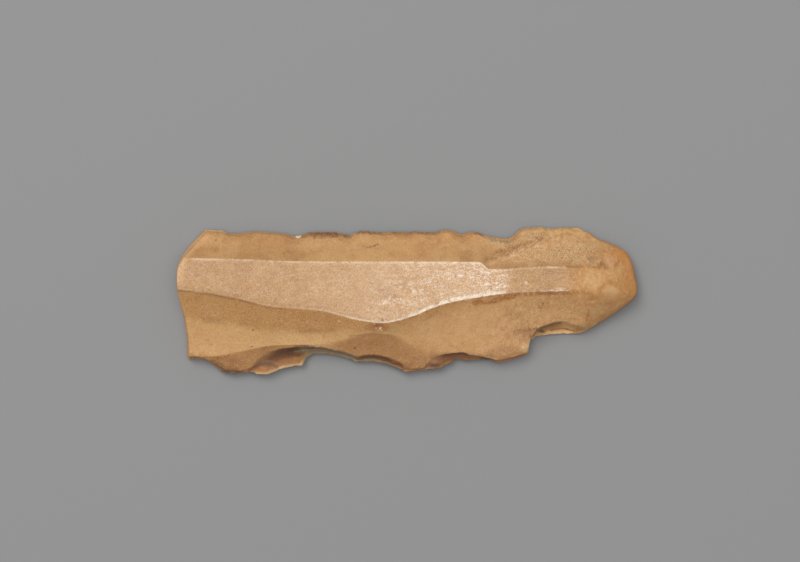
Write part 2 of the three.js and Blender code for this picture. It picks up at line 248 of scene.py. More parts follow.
def plan(i, j, w):
    """Plan place of grid points (i along, j across) on the level w. Flat arrays."""
    i, j = np.asarray(i), np.asarray(j)
    w = np.broadcast_to(np.asarray(w, float), i.shape)
    edge = inset_of("edge", w)
    x = np.zeros(i.shape)
    y = np.zeros(i.shape)
    a = i <= N_TOE
    if a.any():
        ja, ea, wa = j[a], edge[a], w[a]
        ya = along(lines(np.full(ja.shape, -34.0), ea), ja)
        for _ in range(4):
            xa = snap_end(ya) + snap_inset(ya) + inset_of("snap", wa, ya)
            ya = along(lines(xa, ea), ja)
        xa = mix(xa, LEFT_ZONE, (i[a] / N_TOE) ** 1.0)
        x[a], y[a] = xa, along(lines(xa, ea), ja)
    b = (i > N_TOE) & (i <= N_TOE + N_MAIN)
    if b.any():
        xb = mix(LEFT_ZONE, BUTT_ZONE, (i[b] - N_TOE) / N_MAIN)
        x[b], y[b] = xb, along(lines(xb, edge[b]), j[b])
    c = i > N_TOE + N_MAIN
    if c.any():
        s = (i[c] - N_TOE - N_MAIN) / N_BUTT
        ang = along(BUTT_FAN, j[c])
        tip = smooth(-75, -45, ang) * (1 - smooth(50, 78, ang))
        wob = 0.05 * noise(ang / 7.0, 0.3, 0.7, 5) + 0.03 * noise(ang / 2.6, 0.3, 2.7, 6)
        r = butt_end(ang) - mix(LOWER_INSET, UPPER_INSET, smooth(-30, 10, ang)) - 0.06 + wob - mix(edge[c], inset_of("butt", w[c]), tip)
        ex = BUTT_CENTRE[0] + r * np.cos(np.radians(ang))
        ey = BUTT_CENTRE[1] + r * np.sin(np.radians(ang))
        y0 = along(lines(np.full(s.shape, BUTT_ZONE), edge[c]), j[c])
        x[c], y[c] = mix(BUTT_ZONE, ex, s), mix(y0, ey, s)
    return x, y


# ------------------------------------------------------------------ heights
def toe_dip(x):
    return smooth(0, 1, (TOE[0] - x) / (TOE[0] - TOE[1]))


def ventral_face(x, y):
    b = (x - BOW_CENTRE) / BOW_HALF
    bow = np.where(np.abs(b) < 1, BOW * (1 - b * b), 0)
    r = np.hypot(x - BULB[0], y - BULB[1]) / BULB[2]
    lift = BUTT_RISE * smooth(6.2, 11, np.hypot(np.maximum(0, x - BUTT_CENTRE[0]), (y - BUTT_CENTRE[1]) * 0.55))
    return REST_LIFT + bow + CAMBER * ((y - 1) / 11) ** 2 - BULB[3] * np.exp(-r * r / 2) - TOE[2] * toe_dip(x) + lift


def crest(x):
    return CREST_HEIGHT + CREST_SLOPE * x


def bevel(b, width):
    return b[0] * (1 - np.exp(-np.maximum(width, 0) / b[1]))


def line_heights(x, L):
    z = np.zeros_like(L)
    z[0] = np.maximum(0, ventral_face(x, L[0])) + EDGE_LIP
    z[7] = np.maximum(0, ventral_face(x, L[7])) + EDGE_LIP
    z[4] = z[5] = crest(x)
    z[3] = z[4] - UNDER_ARRIS * (L[4] - L[3])
    z[2] = np.minimum(second_row_height(x), z[3] - 0.05)
    z[1] = np.maximum(z[0] + 0.3, np.minimum(z[2] - SECOND_ROW * (L[2] - L[1]), z[0] + bevel(LOWER_BEVEL, L[1] - L[0])))
    z[6] = z[7] + bevel(UPPER_BEVEL, L[7] - L[6])
    return z


def dorsal_at(x, j, L, z):
    s, t = COL_S[j], COL_T[j]
    idx = np.arange(len(x))
    shelf = smooth(-25, -22.5, x) * (1 - smooth(-18.5, -16, x)) + 0.5 * smooth(-8.5, -7, x) * (1 - smooth(-3.5, -2, x)) + smooth(22, 23, x) * (1 - smooth(26.6, 27.4, x))
    p = np.select(
        [s == 0, s == 1, s == 2, s == 3, s == 5, s == 6],
        [np.maximum(t, 1e-9) ** mix(1.35, 3.2, shelf), mix(t, t * t, 0.25), mix(t, t * t, 0.45), mix(t, t * t, 0.25),
         mix(t, 1 - (1 - t) ** 2, 0.35), t ** 1.25],
        t)
    return mix(z[s, idx], z[s + 1, idx], p)


LOBE = dict(a=(12.2, 5.6), b=(23.4, 10.2), depth=0.5, width=0.5)


def lobe_side(x, y):
    (ax, ay), (bx, by) = LOBE["a"], LOBE["b"]
    return ((x - ax) * (by - ay) - (y - ay) * (bx - ax)) / math.hypot(bx - ax, by - ay)


def lobe(x, y):
    side = lobe_side(x, y) + 0.22 * noise(x / 1.3, y / 1.3, 0.5, 31) + 0.1 * noise(x / 0.45, y / 0.45, 0.5, 32)
    run = smooth(0, 1.2, y - upper_arris(np.minimum(x, 37))) * (1 - smooth(24, 33, x)) * smooth(LOBE["a"][0] - 1, LOBE["a"][0] + 2, x)
    return LOBE["depth"] * smooth(0, LOBE["width"], side) * run


def dish(x, y, cx, cy, rx, ry, turn=0.0):
    """1 in the middle of a scar, 0 on its rim, below 0 outside."""
    c, s = math.cos(math.radians(turn)), math.sin(math.radians(turn))
    u, v = (x - cx) * c + (y - cy) * s, -(x - cx) * s + (y - cy) * c
    return 1 - (u / rx) ** 2 - (v / ry) ** 2


# The camera looks down from CAM_UP over a level LEVEL; one pixel of the 800 x 562 picture is 0.163 mm on that level.
PX, LEVEL, CAM_UP = 0.163, 0.7, 130.4 * 100 / 36


def P(px, py, z=0.7):
    """Plan place of a picture point on the level z."""
    k = (CAM_UP + LEVEL - z) / CAM_UP
    return (((px - 400) * k - 6.6) * PX, (19.2 - (py - 281) * k) * PX)


# conchoidal retouch scars on the dorsal face: centre, half sizes, turn, depth
SCARS = []
for x0, wl, wr, depth, _ in [(-28.0, 1.1, 3.4, 0.46, 0), (-18.3, 1.9, 2.2, 0.65, 0), (-9.4, 2.0, 1.7, 0.54, 0), (-3.7, 2.0, 2.2, 0.3, 0),
                              (-0.1, 1.7, 1.5, 0.3, 0), (4.3, 1.8, 1.4, 0.35, 0), (8.9, 1.5, 1.5, 0.51, 0), (16.4, 2.6, 2.1, 0.9, 0)]:
    SCARS.append((x0 + (wr - wl) / 2, float(upper_env(x0)) - 0.35, (wl + wr) / 2 + 0.25, 1.0 + 1.3 * depth, 0, 0.3 + 0.25 * depth))
x = -31.5
while x < 27:
    w = rng.uniform(0.45, 1.15)
    SCARS.append((x, float(upper_env(x) - upper_bites(x)) - 0.05, w, rng.uniform(0.55, 1.35), rng.uniform(-14, 14), rng.uniform(0.08, 0.24)))
    x += w * rng.uniform(1.0, 1.9)
x = -35
while x < 27:
    w = rng.uniform(0.5, 1.3)
    SCARS.append((x, float(lower_env(x) + lower_bites(x)) + 0.1, w, rng.uniform(0.6, 1.3), rng.uniform(-16, 16), rng.uniform(0.1, 0.3)))
    x += w * rng.uniform(1.1, 2.2)


# ------------------------------------------------------------------ the stone as arrays
def soften(z, j, x, y):
    """Round off the knee, the worn arrises of the butt and the scar limits beside the notch."""
    shape = (NUT + 1, NV + 1)
    z, x, y, col = z.reshape(shape).copy(), x.reshape(shape), y.reshape(shape), j.reshape(shape)
    c2, c3, c4, c5 = (sum(SPAN[:k]) for k in (2, 3, 4, 5))
    w = smooth(17, 3, np.abs(col - c3)) * mix(0.55, 1.0, smooth(-16, -9, x))
    w = np.maximum(w, smooth(14, 2, np.abs(col - c2)) * smooth(17, 20, x))
    w = np.maximum(w, smooth(7, 1, np.abs(col - c2)) * 0.8 * smooth(-16, -12, x) * (1 - smooth(10, 14, x)))
    w = np.maximum(w, smooth(3, 0, np.abs(col - c4)) * 0.25)
    for c in (c4, c5):
        w = np.maximum(w, smooth(9, 1, np.abs(col - c)) * smooth(26.4, 29.5, x))
    gap = np.maximum(np.hypot(np.diff(x, axis=1), np.diff(y, axis=1)), 1e-5)
    a = gap[:, 1:] / (gap[:, 1:] + gap[:, :-1])
    for _ in range(70):
        z[:, 1:-1] += 0.5 * w[:, 1:-1] * (a * z[:, :-2] + (1 - a) * z[:, 2:] - z[:, 1:-1])
    return z.ravel()


def dorsal_face():
    """Plan place, height and painting inputs of every dorsal grid point."""
    I, J = np.meshgrid(np.arange(NUT + 1), np.arange(NV + 1), indexing="ij")
    i, j = I.ravel(), J.ravel()
    x, y = plan(i, j, 1.0)
    xm = np.minimum(x, BUTT_ZONE)
    L = lines(xm, 0.06)
    z = dorsal_at(xm, j, L, line_heights(xm, L))
    s = np.clip((i - N_TOE - N_MAIN) / N_BUTT, 0, 1)
    z = mix(along(BUTT_RIM, j), z, 1 - s ** 2.1)
    z = soften(z, j, x, y)
    floor_z = np.maximum(0, ventral_face(x, y)) + EDGE_LIP * 0.8
    rim = np.minimum(np.minimum(j, NV - j) / 4.0, 1.0)
    drop = lobe(x, y)
    cut = np.zeros_like(x)
    for cx, cy, rx, ry, turn, depth in SCARS:
        m = (np.abs(x - cx) < rx + ry) & (np.abs(y - cy) < rx + ry)
        cut[m] = np.maximum(cut[m], depth * np.clip(dish(x[m], y[m], cx, cy, rx, ry, turn), 0, 1) ** 0.8)
    drop = drop + cut
    # a raised round boss near the butt, with a groove round it, and a small flake scar beside it
    bx, by = P(611, 292.6, 6.4)
    r = np.hypot(x - bx, y - by)
    drop -= 0.05 * (1 - smooth(0.8, 1.6, r)) - 0.05 * np.exp(-(((r - 1.6) / 0.34) ** 2))
    sx, sy = P(609.3, 260.5, 5.3)
    d = dish(x, y, sx, sy, 1.3, 0.95, -12)
    drop += 0.26 * np.clip(d, 0, 1) ** 0.6 * smooth(1.5, -1.1, (x - sx))
    # crystal-lined pit under the lower arris
    px_, py_ = P(378.5, 327, 5.6)
    d = dish(x, y, px_, py_, 0.85, 0.7, 20)
    drop += np.clip(d, 0, 1) * (0.22 + 0.16 * noise(x / 0.16, y / 0.16, 0.2, 41))
    # nicks on the lower arris
    for nx, ny, nr, nd in ((383, 320, 0.32, 0.3), (437, 304, 0.45, 0.22), (352, 317, 0.5, 0.1), (470, 298, 0.4, 0.12), (502, 293, 0.6, 0.14)):
        cx, cy = P(nx, ny, 6.5)
        drop += nd * np.clip(dish(x, y, cx, cy, nr, nr * 0.8), 0, 1)
    facet = COL_S[j]
    calm = np.where(facet == 4, 0.35, 1.0) * np.where((facet == 0) | (facet == 6), 1.6, 1.0)
    drop = drop - calm * (0.075 * fbm(x, y, 0.0, 4.5, 3, 51) + 0.028 * fbm(x, y, 3.0, 0.9, 3, 52))
    # flake ripples, bowed across the big scars
    ripple = np.sin((x + 0.02 * (y + 14) ** 2) * 2.6 + 1.2 * noise(x / 6, y / 6, 0.0, 53)) * np.where((facet == 2) | (facet == 5), 1.0, 0.0)
    drop -= 0.010 * ripple * smooth(-0.2, 0.8, noise(x / 9, y / 5, 1.0, 54))
    z = np.maximum(z - drop * rim, np.minimum(floor_z, z))
    return i, j, x, y, z, facet


def ring():
    """The grid points round the edge, anticlockwise from above."""
    a = [(i, 0) for i in range(NUT + 1)] + [(NUT, j) for j in range(1, NV + 1)]
    a += [(i, NV) for i in range(NUT - 1, -1, -1)] + [(0, j) for j in range(NV - 1, 0, -1)]
    return np.array(a)


def ventral_z(x, y):
    z = ventral_face(x, y)
    r = np.hypot(x - 36.5, (y - 3.4))
    wave = 0.016 * np.sin(r * 2.1 + 0.8 * noise(x / 7, y / 7, 0, 61)) * smooth(7, 16, r) * (1 - 0.6 * smooth(40, 70, r))
    fissure = 0.02 * noise(np.arctan2(y - 3.4, x - 37) * 9.0, r / 14, 0, 62) * (1 - smooth(9, 24, r))
    return np.maximum(0.0, z + wave + fissure + 0.02 * fbm(x, y, 0, 3.0, 3, 63) - 0.01)


def build_arrays():
    NJ = NV + 1
    ti, tj, tx, ty, tz, facet = dorsal_face()
    pos = [np.stack([tx, ty, tz], 1)]
    side = [np.zeros(len(tx))]  # 0 dorsal, 1 wall, 2 ventral
    frac = [np.ones(len(tx))]  # 1 at the dorsal rim, 0 at the ventral one
    R = ring()
    n = len(R)
    rim_top = R[:, 0] * NJ + R[:, 1]
    bx, by = plan(R[:, 0], R[:, 1], 0.0)
    bz = ventral_z(bx, by)
    base = len(tx)
    rows = [rim_top]
    for k in range(NW - 1, 0, -1):
        w = k / NW
        wx, wy = plan(R[:, 0], R[:, 1], w)
        wz = mix(bz, tz[rim_top], w)
        # the snapped face and the butt are a little uneven
        uneven = 0.09 * fbm(wy, wz, 0.0, 3.0, 3, 71) + 0.03 * noise(wy / 0.7, wz / 0.7, 0, 72)
        big = smooth(0.8, 2.4, tz[rim_top] - bz) * math.sin(math.pi * w)
        wx = wx + uneven * big * np.where(R[:, 0] <= N_TOE, 1, -1) * np.where((R[:, 0] == 0) | (R[:, 0] == NUT), 1, 0)
        ripple = 0.045 * (1 + np.sin(np.hypot(wy - 12.0, wz - 6.0) * 1.7 + 1.5 * noise(wy / 3, wz / 3, 0, 73))) + 0.03 * (1 + noise(wy / 2.3, wz / 1.5, 0, 74))
        wx = wx + ripple * big * (R[:, 0] == 0)
        pos.append(np.stack([wx, wy, wz], 1))
        side.append(np.ones(n))
        frac.append(np.full(n, w))
        rows.append(base + np.arange(n))
        base += n
    pos.append(np.stack([bx, by, bz], 1))
    side.append(np.full(n, 1.5))
    frac.append(np.zeros(n))
    rim_low = base + np.arange(n)
    rows.append(rim_low)
    base += n
    # ventral grid: every second line inside the ring
    low = np.full((NUT + 1, NJ), -1, int)
    low[R[:, 0], R[:, 1]] = rim_low
    gi, gj = (g.ravel() for g in np.meshgrid(np.arange(2, NUT, 2), np.arange(2, NV, 2), indexing="ij"))
    gx, gy = plan(gi, gj, 0.0)
    low[gi, gj] = base + np.arange(len(gi))
    pos.append(np.stack([gx, gy, ventral_z(gx, gy)], 1))
    side.append(np.full(len(gi), 2.0))
    frac.append(np.zeros(len(gi)))
    pos, side, frac = np.concatenate(pos), np.concatenate(side), np.concatenate(frac)

    quads = []
    a = (np.arange(NUT)[:, None] * NJ + np.arange(NV)[None, :]).ravel()
    quads.append(np.stack([a, a + NJ, a + NJ + 1, a + 1], 1))
    for hi, lo in zip(rows[:-1], rows[1:]):
        quads.append(np.stack([lo, np.roll(lo, -1), np.roll(hi, -1), hi], 1))
    polys = []
    for ci in range(0, NUT, 2):
        for cj in range(0, NV, 2):
            loop = [(ci, cj), (ci, cj + 1), (ci, cj + 2), (ci + 1, cj + 2), (ci + 2, cj + 2), (ci + 2, cj + 1), (ci + 2, cj), (ci + 1, cj)]
            f = [low[p] for p in loop if low[p] >= 0]
            polys.append(f)
    return pos, side, np.concatenate(quads), polys, (ti, tj, facet), frac


pos, side, quads, polys, (gi_, gj_, facet_), frac_ = build_arrays()
pos[:, 0] -= CENTRE[0]
pos[:, 1] -= CENTRE[1]


# ------------------------------------------------------------------ painting, per point
def lin(c):
    c = np.asarray(c, float) / 255.0
    return np.where(c <= 0.04045, c / 12.92, ((c + 0.055) / 1.055) ** 2.4)


def blend(col, new, k):
    return col * (1 - k[:, None]) + np.asarray(new)[None, :] * k[:, None]


def to_px(x, y, z):
    k = CAM_UP / (CAM_UP + LEVEL - z)
    return 400 + (x / PX + 6.6) * k, 281 + (19.2 - y / PX) * k


def spot(u, v, cx, cy, rx, ry, turn=0.0, soft=0.6):
    """Soft patch round a picture point; u, v and the sizes are in picture pixels."""
    return smooth(0, soft, dish(u, v, cx, cy, rx, ry, turn))


def streak(u, v, pts, width, soft=0.5):
    """1 on a line through picture points, 0 beyond its width in pixels."""
    best = np.full(u.shape, 1e9)
    for (ax, ay), (bx, by) in zip(pts[:-1], pts[1:]):
        dx, dy = bx - ax, by - ay
        t = np.clip(((u - ax) * dx + (v - ay) * dy) / (dx * dx + dy * dy), 0, 1)
        best = np.minimum(best, np.hypot(u - ax - t * dx, v - ay - t * dy))
    return 1 - smooth(width * (1 - soft), width, best)


def paint(pos, side, gi, gj, facet, frac):
    n, nt = len(pos), len(gi)
    x, y, z = pos[:, 0] + CENTRE[0], pos[:, 1] + CENTRE[1], pos[:, 2]
    px, py = to_px(x, y, z)
    dorsal = (side == 0).astype(float)
    upper_side = (side <= 1).astype(float)
    f = np.full(n, -1)
    f[:nt] = facet
    xm = np.minimum(x, 27.0)
    A1, A2 = upper_arris(np.minimum(x, 37)), lower_arris(np.minimum(x, 37))
    L = lines(np.clip(x, -35.5, 27.0), 0.06)
    K, C, B, YL, YU, T = L[3], L[2], L[1], L[0], L[7], L[6]
    w1 = fbm(x, y, z, 2.4, 3, 82)  # wobble for soft borders and clouding
    w2 = fbm(x, y, z, 0.7, 3, 83)
    w3 = fbm(x, y, z, 7.0, 2, 84)
    w4 = fbm(x, y, z, 0.36, 2, 85)
    frost_sheen, grain, arris = np.zeros(n), np.zeros(n), np.zeros(n)

    def lay(col, rgb, k):
        return blend(col, lin(rgb), np.clip(k, 0, 1))

    def near(line_y, half, soft=0.3, off=0.0):
        """1 within half a width (mm) of a line y(x)."""
        return 1 - smooth(half, half + soft, np.abs(y - line_y - off))

    def span_x(a, b, soft=3.0):
        return smooth(a - soft, a + soft, px) * (1 - smooth(b - soft, b + soft, px))

    col = np.tile(lin(TONE["base"]), (n, 1))
    # ---- upper facet
    up = (y > A1).astype(float) * dorsal
    col = lay(col, TONE["upper"], up)
    col = lay(col, (178, 126, 74), up * smooth(0.0, 0.5, w1) * 0.5)
    col = lay(col, (208, 162, 102), up * smooth(0.05, 0.5, w3) * 0.5)
    col = lay(col, (176, 126, 76), up * smooth(230, 250, px) * (1 - smooth(290, 320, px)) * 0.35)
    # ---- lower facets, arris to edge
    low = (y < A2).astype(float) * dorsal
    right = smooth(385, 430, px)
    col = lay(col, TONE["low_dark"], low)
    k_knee = smooth(0.7, -0.7, y - K + 0.25 * w1)
    col = lay(col, TONE["low_light"], low * k_knee * (1 - right))
    col = lay(col, TONE["low_right"], low * right * smooth(0.0, 2.6, A2 - y + 0.6 * w1))
    col = lay(col, (150, 104, 62), low * (1 - right) * np.exp(-(((y - K) / 0.5) ** 2)) * smooth(0.0, 0.5, w1 + 0.1) * 0.4)
    # darker just under the lower arris, partly painted shade
    col = lay(col, (166, 120, 70), low * np.exp(-np.maximum(A2 - y, 0) / 0.45) * 0.35)
    k_c = smooth(0.12, -0.16, y - C)
    left_scar = low * k_c * (1 - smooth(300, 316, px))
    col = lay(col, (174, 127, 77), left_scar)
    col = lay(col, (150, 100, 56), left_scar * smooth(-0.1, 0.5, w1) * 0.6)
    tri = low * smooth(0.5, -0.35, y - C + 0.15 * w1) * smooth(306, 350, px) * (1 - smooth(402, 436, px))
    col = lay(col, TONE["tri"], tri)
    col = lay(col, (190, 142, 94), tri * smooth(0.0, 0.6, w1) * 0.4)
    outer = low * k_c * smooth(436, 446, px) * (1 - smooth(520, 532, px))
    col = lay(col, (186, 140, 92), outer * 0.6)
    # ---- steep scars along the lower edge: their dark tones are partly darker stone and partly painted shade, where the steep walls face away from the light
    band = ((y < B + 0.02) & (y > YL - 0.6)).astype(float) * upper_side * (x < 27.6)
    tb = np.clip((B - y) / np.maximum(B - YL, 0.05), 0, 1)  # 0 at the inner limit, 1 at the edge
    wide = smooth(0.55, 1.1, B - YL)
    # darker over the whole steep band, partly painted shade
    col = lay(col, (120, 84, 54), band * 0.55 * (1 - smooth(560, 574, px)))
    d1 = smooth(253, 259, px) * (1 - smooth(298, 312, px)) * band
    start = np.maximum(smooth(0.02, 0.3, tb), smooth(268, 282, px))
    shelf = 0.46 + 0.17 * smooth(258, 268, px) - 0.09 * smooth(272, 283, px) - 0.12 * smooth(295, 304, px)
    col = lay(col, (176, 128, 80), d1 * (1 - start))
    # dark tones down the first scar's steep wall, partly painted shade
    col = lay(col, (114, 74, 38), d1 * start * (1 - smooth(shelf - 0.07, shelf + 0.08, tb + 0.08 * w1)))
    col = lay(col, (90, 57, 30), d1 * start * np.exp(-((tb - 0.14) / 0.17) ** 2) * 0.95)
    col = lay(col, (104, 64, 36), d1 * np.exp(-((tb - shelf) / 0.06) ** 2) * 0.7)
    col = lay(col, (154, 104, 52), d1 * smooth(shelf, shelf + 0.12, tb + 0.08 * w1))
    col = lay(col, (104, 66, 38), streak(px, py, [(248, 370), (254, 366.8), (260, 364.2), (266, 363.4), (272, 364.4), (279, 367.4)], 1.5, 0.7) * upper_side * 0.85)
    col = lay(col, (156, 118, 86), streak(px, py, [(259, 361.8), (266, 360.8), (273, 362), (281, 364)], 1.3, 0.9) * upper_side * 0.45)
    col = lay(col, (168, 108, 54), spot(px, py, 264, 368.3, 12, 2.8, 0, 0.9) * upper_side * 0.7)
    col = lay(col, (106, 70, 44), streak(px, py, [(255, 365), (260, 360.5), (267, 355.5), (277, 351.5), (285, 349.5)], 3.6, 0.85) * upper_side * 0.62)
    col = lay(col, (108, 68, 38), streak(px, py, [(248, 370), (254, 366.8), (260, 364.6), (266, 364.2), (273, 365.4), (279, 367.8)], 1.2, 0.8) * upper_side * 0.6)
    col = lay(col, (148, 96, 54), spot(px, py, 284, 360.5, 14, 2.6, -14, 1.0) * upper_side * 0.7)
    # painted highlight on the thin outer rim of the shelf
    col = lay(col, (222, 186, 136), d1 * smooth(0.87, 0.97, tb + 0.06 * w2) * 0.82)
    # painted highlight on the lip at the scar's right side
    col = lay(col, (208, 172, 126), streak(px, py, [(306.5, 353), (303.5, 360), (301, 363.5)], 1.5) * upper_side * 0.6)
    col = lay(col, (92, 60, 36), spot(px, py, 284, 355, 16, 2.6, -6, 1.0) * upper_side * 0.4)
    d2 = smooth(298, 312, px) * (1 - smooth(363, 369, px)) * band
    col = lay(col, (160, 132, 98), d2)
    col = lay(col, (110, 80, 54), d2 * np.exp(-((tb - mix(0.16, 0.32, smooth(312, 345, px))) / 0.2) ** 2) * 0.6)
    col = lay(col, (160, 136, 106), d2 * np.exp(-((tb - 0.98) / 0.2) ** 2) * smooth(330, 350, px) * 0.7)
    d3 = span_x(358, 408, 3) * band
    col = lay(col, (118, 78, 46), d3)
    col = lay(col, (144, 114, 84), d3 * smooth(0.28, 0.56, tb) * (1 - smooth(374, 392, px)))
    col = lay(col, (160, 116, 74), d3 * smooth(0.6, 0.98, tb) * smooth(384, 396, px) * 0.45)
    tip = span_x(404, 427, 3) * band
    col = lay(col, (160, 113, 69), tip)
    d4 = span_x(426, 472, 3) * band
    col = lay(col, (152, 104, 64), d4)
    col = lay(col, (98, 61, 38), d4 * np.exp(-((tb - 0.14) / 0.22) ** 2) * smooth(437, 446, px) * 0.85)
    col = lay(col, (96, 66, 52), spot(px, py, 434, 366.5, 9, 3.6, -8, 1.0) * upper_side * 0.8)
    col = lay(col, (152, 104, 64), d4 * smooth(0.4, 0.85, tb + 0.3 * w1) * smooth(440, 448, px) * 0.75)
    col = lay(col, (128, 102, 76), band * span_x(395, 476, 5) * smooth(0.8, 0.95, tb) * 0.6)
    d5 = span_x(470, 530, 4) * band
    col = lay(col, (158, 112, 70), d5 * (1 - smooth(477, 484, px)))
    col = lay(col, (122, 82, 50), d5 * smooth(477, 483, px) * (1 - smooth(488, 498, px)))
    col = lay(col, (180, 124, 72), d5 * smooth(488, 500, px))
    d6 = span_x(531, 580, 2) * band
    col = lay(col, (216, 170, 116), d6)
    # painted light on the notch's steep right wall, lightening it against its own shade
    col = lay(col, (242, 202, 148), d6 * smooth(556, 572, px) * smooth(0.4, 0.7, tb) * 0.7)
    col = lay(col, (240, 184, 126), smooth(556, 568, px) * band * (1 - smooth(0.4, 0.75, tb)) * 0.9)
    col = lay(col, (150, 106, 60), d6 * (1 - smooth(0.35, 0.75, tb)) * (1 - smooth(552, 566, px)) * 0.6)
    # dark patch in the notch: painted shade of a small deep hinge scar
    col = lay(col, (120, 84, 54), d6 * spot(px, py, 541, 330.8, 6.2, 2.4, 28, 0.9) * smooth(0.1, 0.35, tb) * (1 - 0.6 * smooth(0.55, 0.85, tb)))
    # dark line along the notch's upper limit: painted shade of the step
    col = lay(col, (118, 82, 42), streak(px, py, [(540.5, 327.8), (550, 325), (556, 323.2), (561, 322.6)], 2.1, 0.8) * upper_side * 0.68)
    # painted highlight on the thin rim of the notch's shelf
    col = lay(col, (222, 188, 138), d6 * smooth(0.8, 0.95, tb + 0.04 * w2) * smooth(546, 552, px) * (1 - 0.7 * smooth(558, 566, px)) * 0.9)
    col = lay(col, (156, 104, 54), streak(px, py, [(550.5, 330.3), (556.5, 329), (561.4, 328.3), (568, 329.4)], 1.5, 0.8) * upper_side * 0.85)
    col = lay(col, (124, 86, 48), streak(px, py, [(566, 329), (571, 330.2), (576, 331.8)], 1.1, 0.8) * upper_side * 0.8)
    left = span_x(184, 252, 3) * band
    col = lay(col, (196, 140, 78), left * (1 - smooth(210, 220, px)))
    col = lay(col, (162, 114, 70), left * smooth(210, 220, px))
    # darker down the steep wall at the left, partly painted shade
    col = lay(col, (92, 72, 60), left * smooth(214, 220, px) * (1 - smooth(238, 248, px)) * smooth(0.2, 0.75, tb))
    # ---- central facet, which stops dead at the butt zone; its paler tone is partly a painted sheen
    cen = ((f == 4) | ((f == 5) & (np.abs(y - A1) < 1e-6))) & (x < BUTT_ZONE + 0.01)
    cen = cen.astype(float)
    cen = cen * (1 - smooth(565.5, 569.8, px + 3.0 * w2 + 2.0 * w1))
    col = lay(col, TONE["centre_left"], cen)
    col = lay(col, TONE["centre"], cen * smooth(280, 400, px + 26 * w3))
    col = lay(col, TONE["centre_end"], cen * smooth(503, 520, px + 4 * w2))
    col = lay(col, (190, 145, 102), cen * smooth(0.1, 0.55, w1) * 0.2)
    col = lay(col, (220, 180, 134), cen * smooth(0.1, 0.5, -w1) * 0.25)
    # pale frosted speckle on the flat facet, part frosted stone and part painted sheen
    frost_sheen = cen * (0.25 + 0.75 * smooth(330, 470, px)) * (1 - 0.75 * smooth(500, 516, px))
    frost_sheen = np.clip(frost_sheen + cen * (0.6 * spot(px, py, 495, 286, 13, 7, 0, 1.0) + 0.4 * spot(px, py, 462, 275, 14, 6, 0, 1.0) + 0.4 * spot(px, py, 386, 303, 24, 5, 0, 1.0)), 0, 1.5)
    # ---- butt, warmer
    butt = smooth(565.5, 570.5, px + 3.0 * w2 + 2.0 * w1) * dorsal
    col = lay(col, TONE["butt"], butt * (y < A1 + 0.2) * (y > A2 - 0.8))
    col = lay(col, (188, 146, 98), smooth(560, 600, px) * dorsal * up * 0.7)
    col = lay(col, (212, 168, 110), spot(px, py, 596, 280, 15, 12, 0, 1.0) * 0.75 * upper_side)
    # warmer rim right round the butt, with painted shade on its lower right edge
    rr = np.hypot(x - BUTT_CENTRE[0], y - BUTT_CENTRE[1]) / butt_end(np.degrees(np.arctan2(y - BUTT_CENTRE[1], x - BUTT_CENTRE[0])))
    rim = smooth(0.80, 0.97, rr + 0.06 * w1) * (x > 27) * upper_side
    col = lay(col, (184, 125, 60), rim * 0.65)
    col = lay(col, (188, 128, 64), spot(px, py, 631, 270, 10, 28, 0, 1.0) * smooth(-0.3, 0.4, w1) * upper_side * 0.45)
    col = lay(col, (186, 128, 66), spot(px, py, 618, 250, 14, 12, 0, 1.0) * upper_side * 0.45)
    # painted shade along the lower right edge of the butt, which faces away from the light
    col = lay(col, (120, 84, 54), smooth(0.965, 0.99, rr) * (x > 28) * smooth(2.6, 0.6, y) * smooth(1.0, 1.8, z) * upper_side * 0.8)
    # ---- left end: pale bevel at the top, partly a painted highlight, pale rims on the outline painted as highlights; warm thin rim below
    lx = x - (snap_end(y) + snap_inset(y))
    wall = (side == 1).astype(float) * (x < -30)
    col = lay(col, (202, 153, 99), wall * 0.8)
    high = 1 - wall * (1 - smooth(0.3, 0.75, frac))
    bev = smooth(2.1, 1.0, lx + 0.3 * w1 - 0.5 * smooth(6, 9, y)) * smooth(2.5, 4.5, y) * (x < -29) * upper_side
    col = lay(col, (216, 168, 114), bev * high * 0.9)
    col = lay(col, (186, 136, 82), wall * smooth(0.0, 0.5, w1) * 0.4)
    # painted highlight on the rim of the top bevel
    col = lay(col, (236, 196, 146), high * smooth(0.8, 0.3, lx) * smooth(2.5, 4.5, y) * (x < -29) * upper_side * 0.7)
    col = lay(col, (206, 152, 90), smooth(0.95, 0.35, lx) * (y < A2) * (x < -30) * upper_side * 0.75)
    # painted highlight on the outer rim below the arris
    col = lay(col, (244, 208, 160), high * smooth(0.6, 0.15, lx) * (y < A2) * (x < -30) * upper_side * 0.7)
    # ---- upper edge: cream rims, painted as highlights, and granular dark fringes
    edge_d = YU - y
    e = upper_side * (x < 27.5)
    col = lay(col, (172, 118, 64), smooth(1.3, 0.2, edge_d + 0.5 * w1) * e * smooth(-0.4, 0.3, w3 + 0.4 * w1) * 0.6)
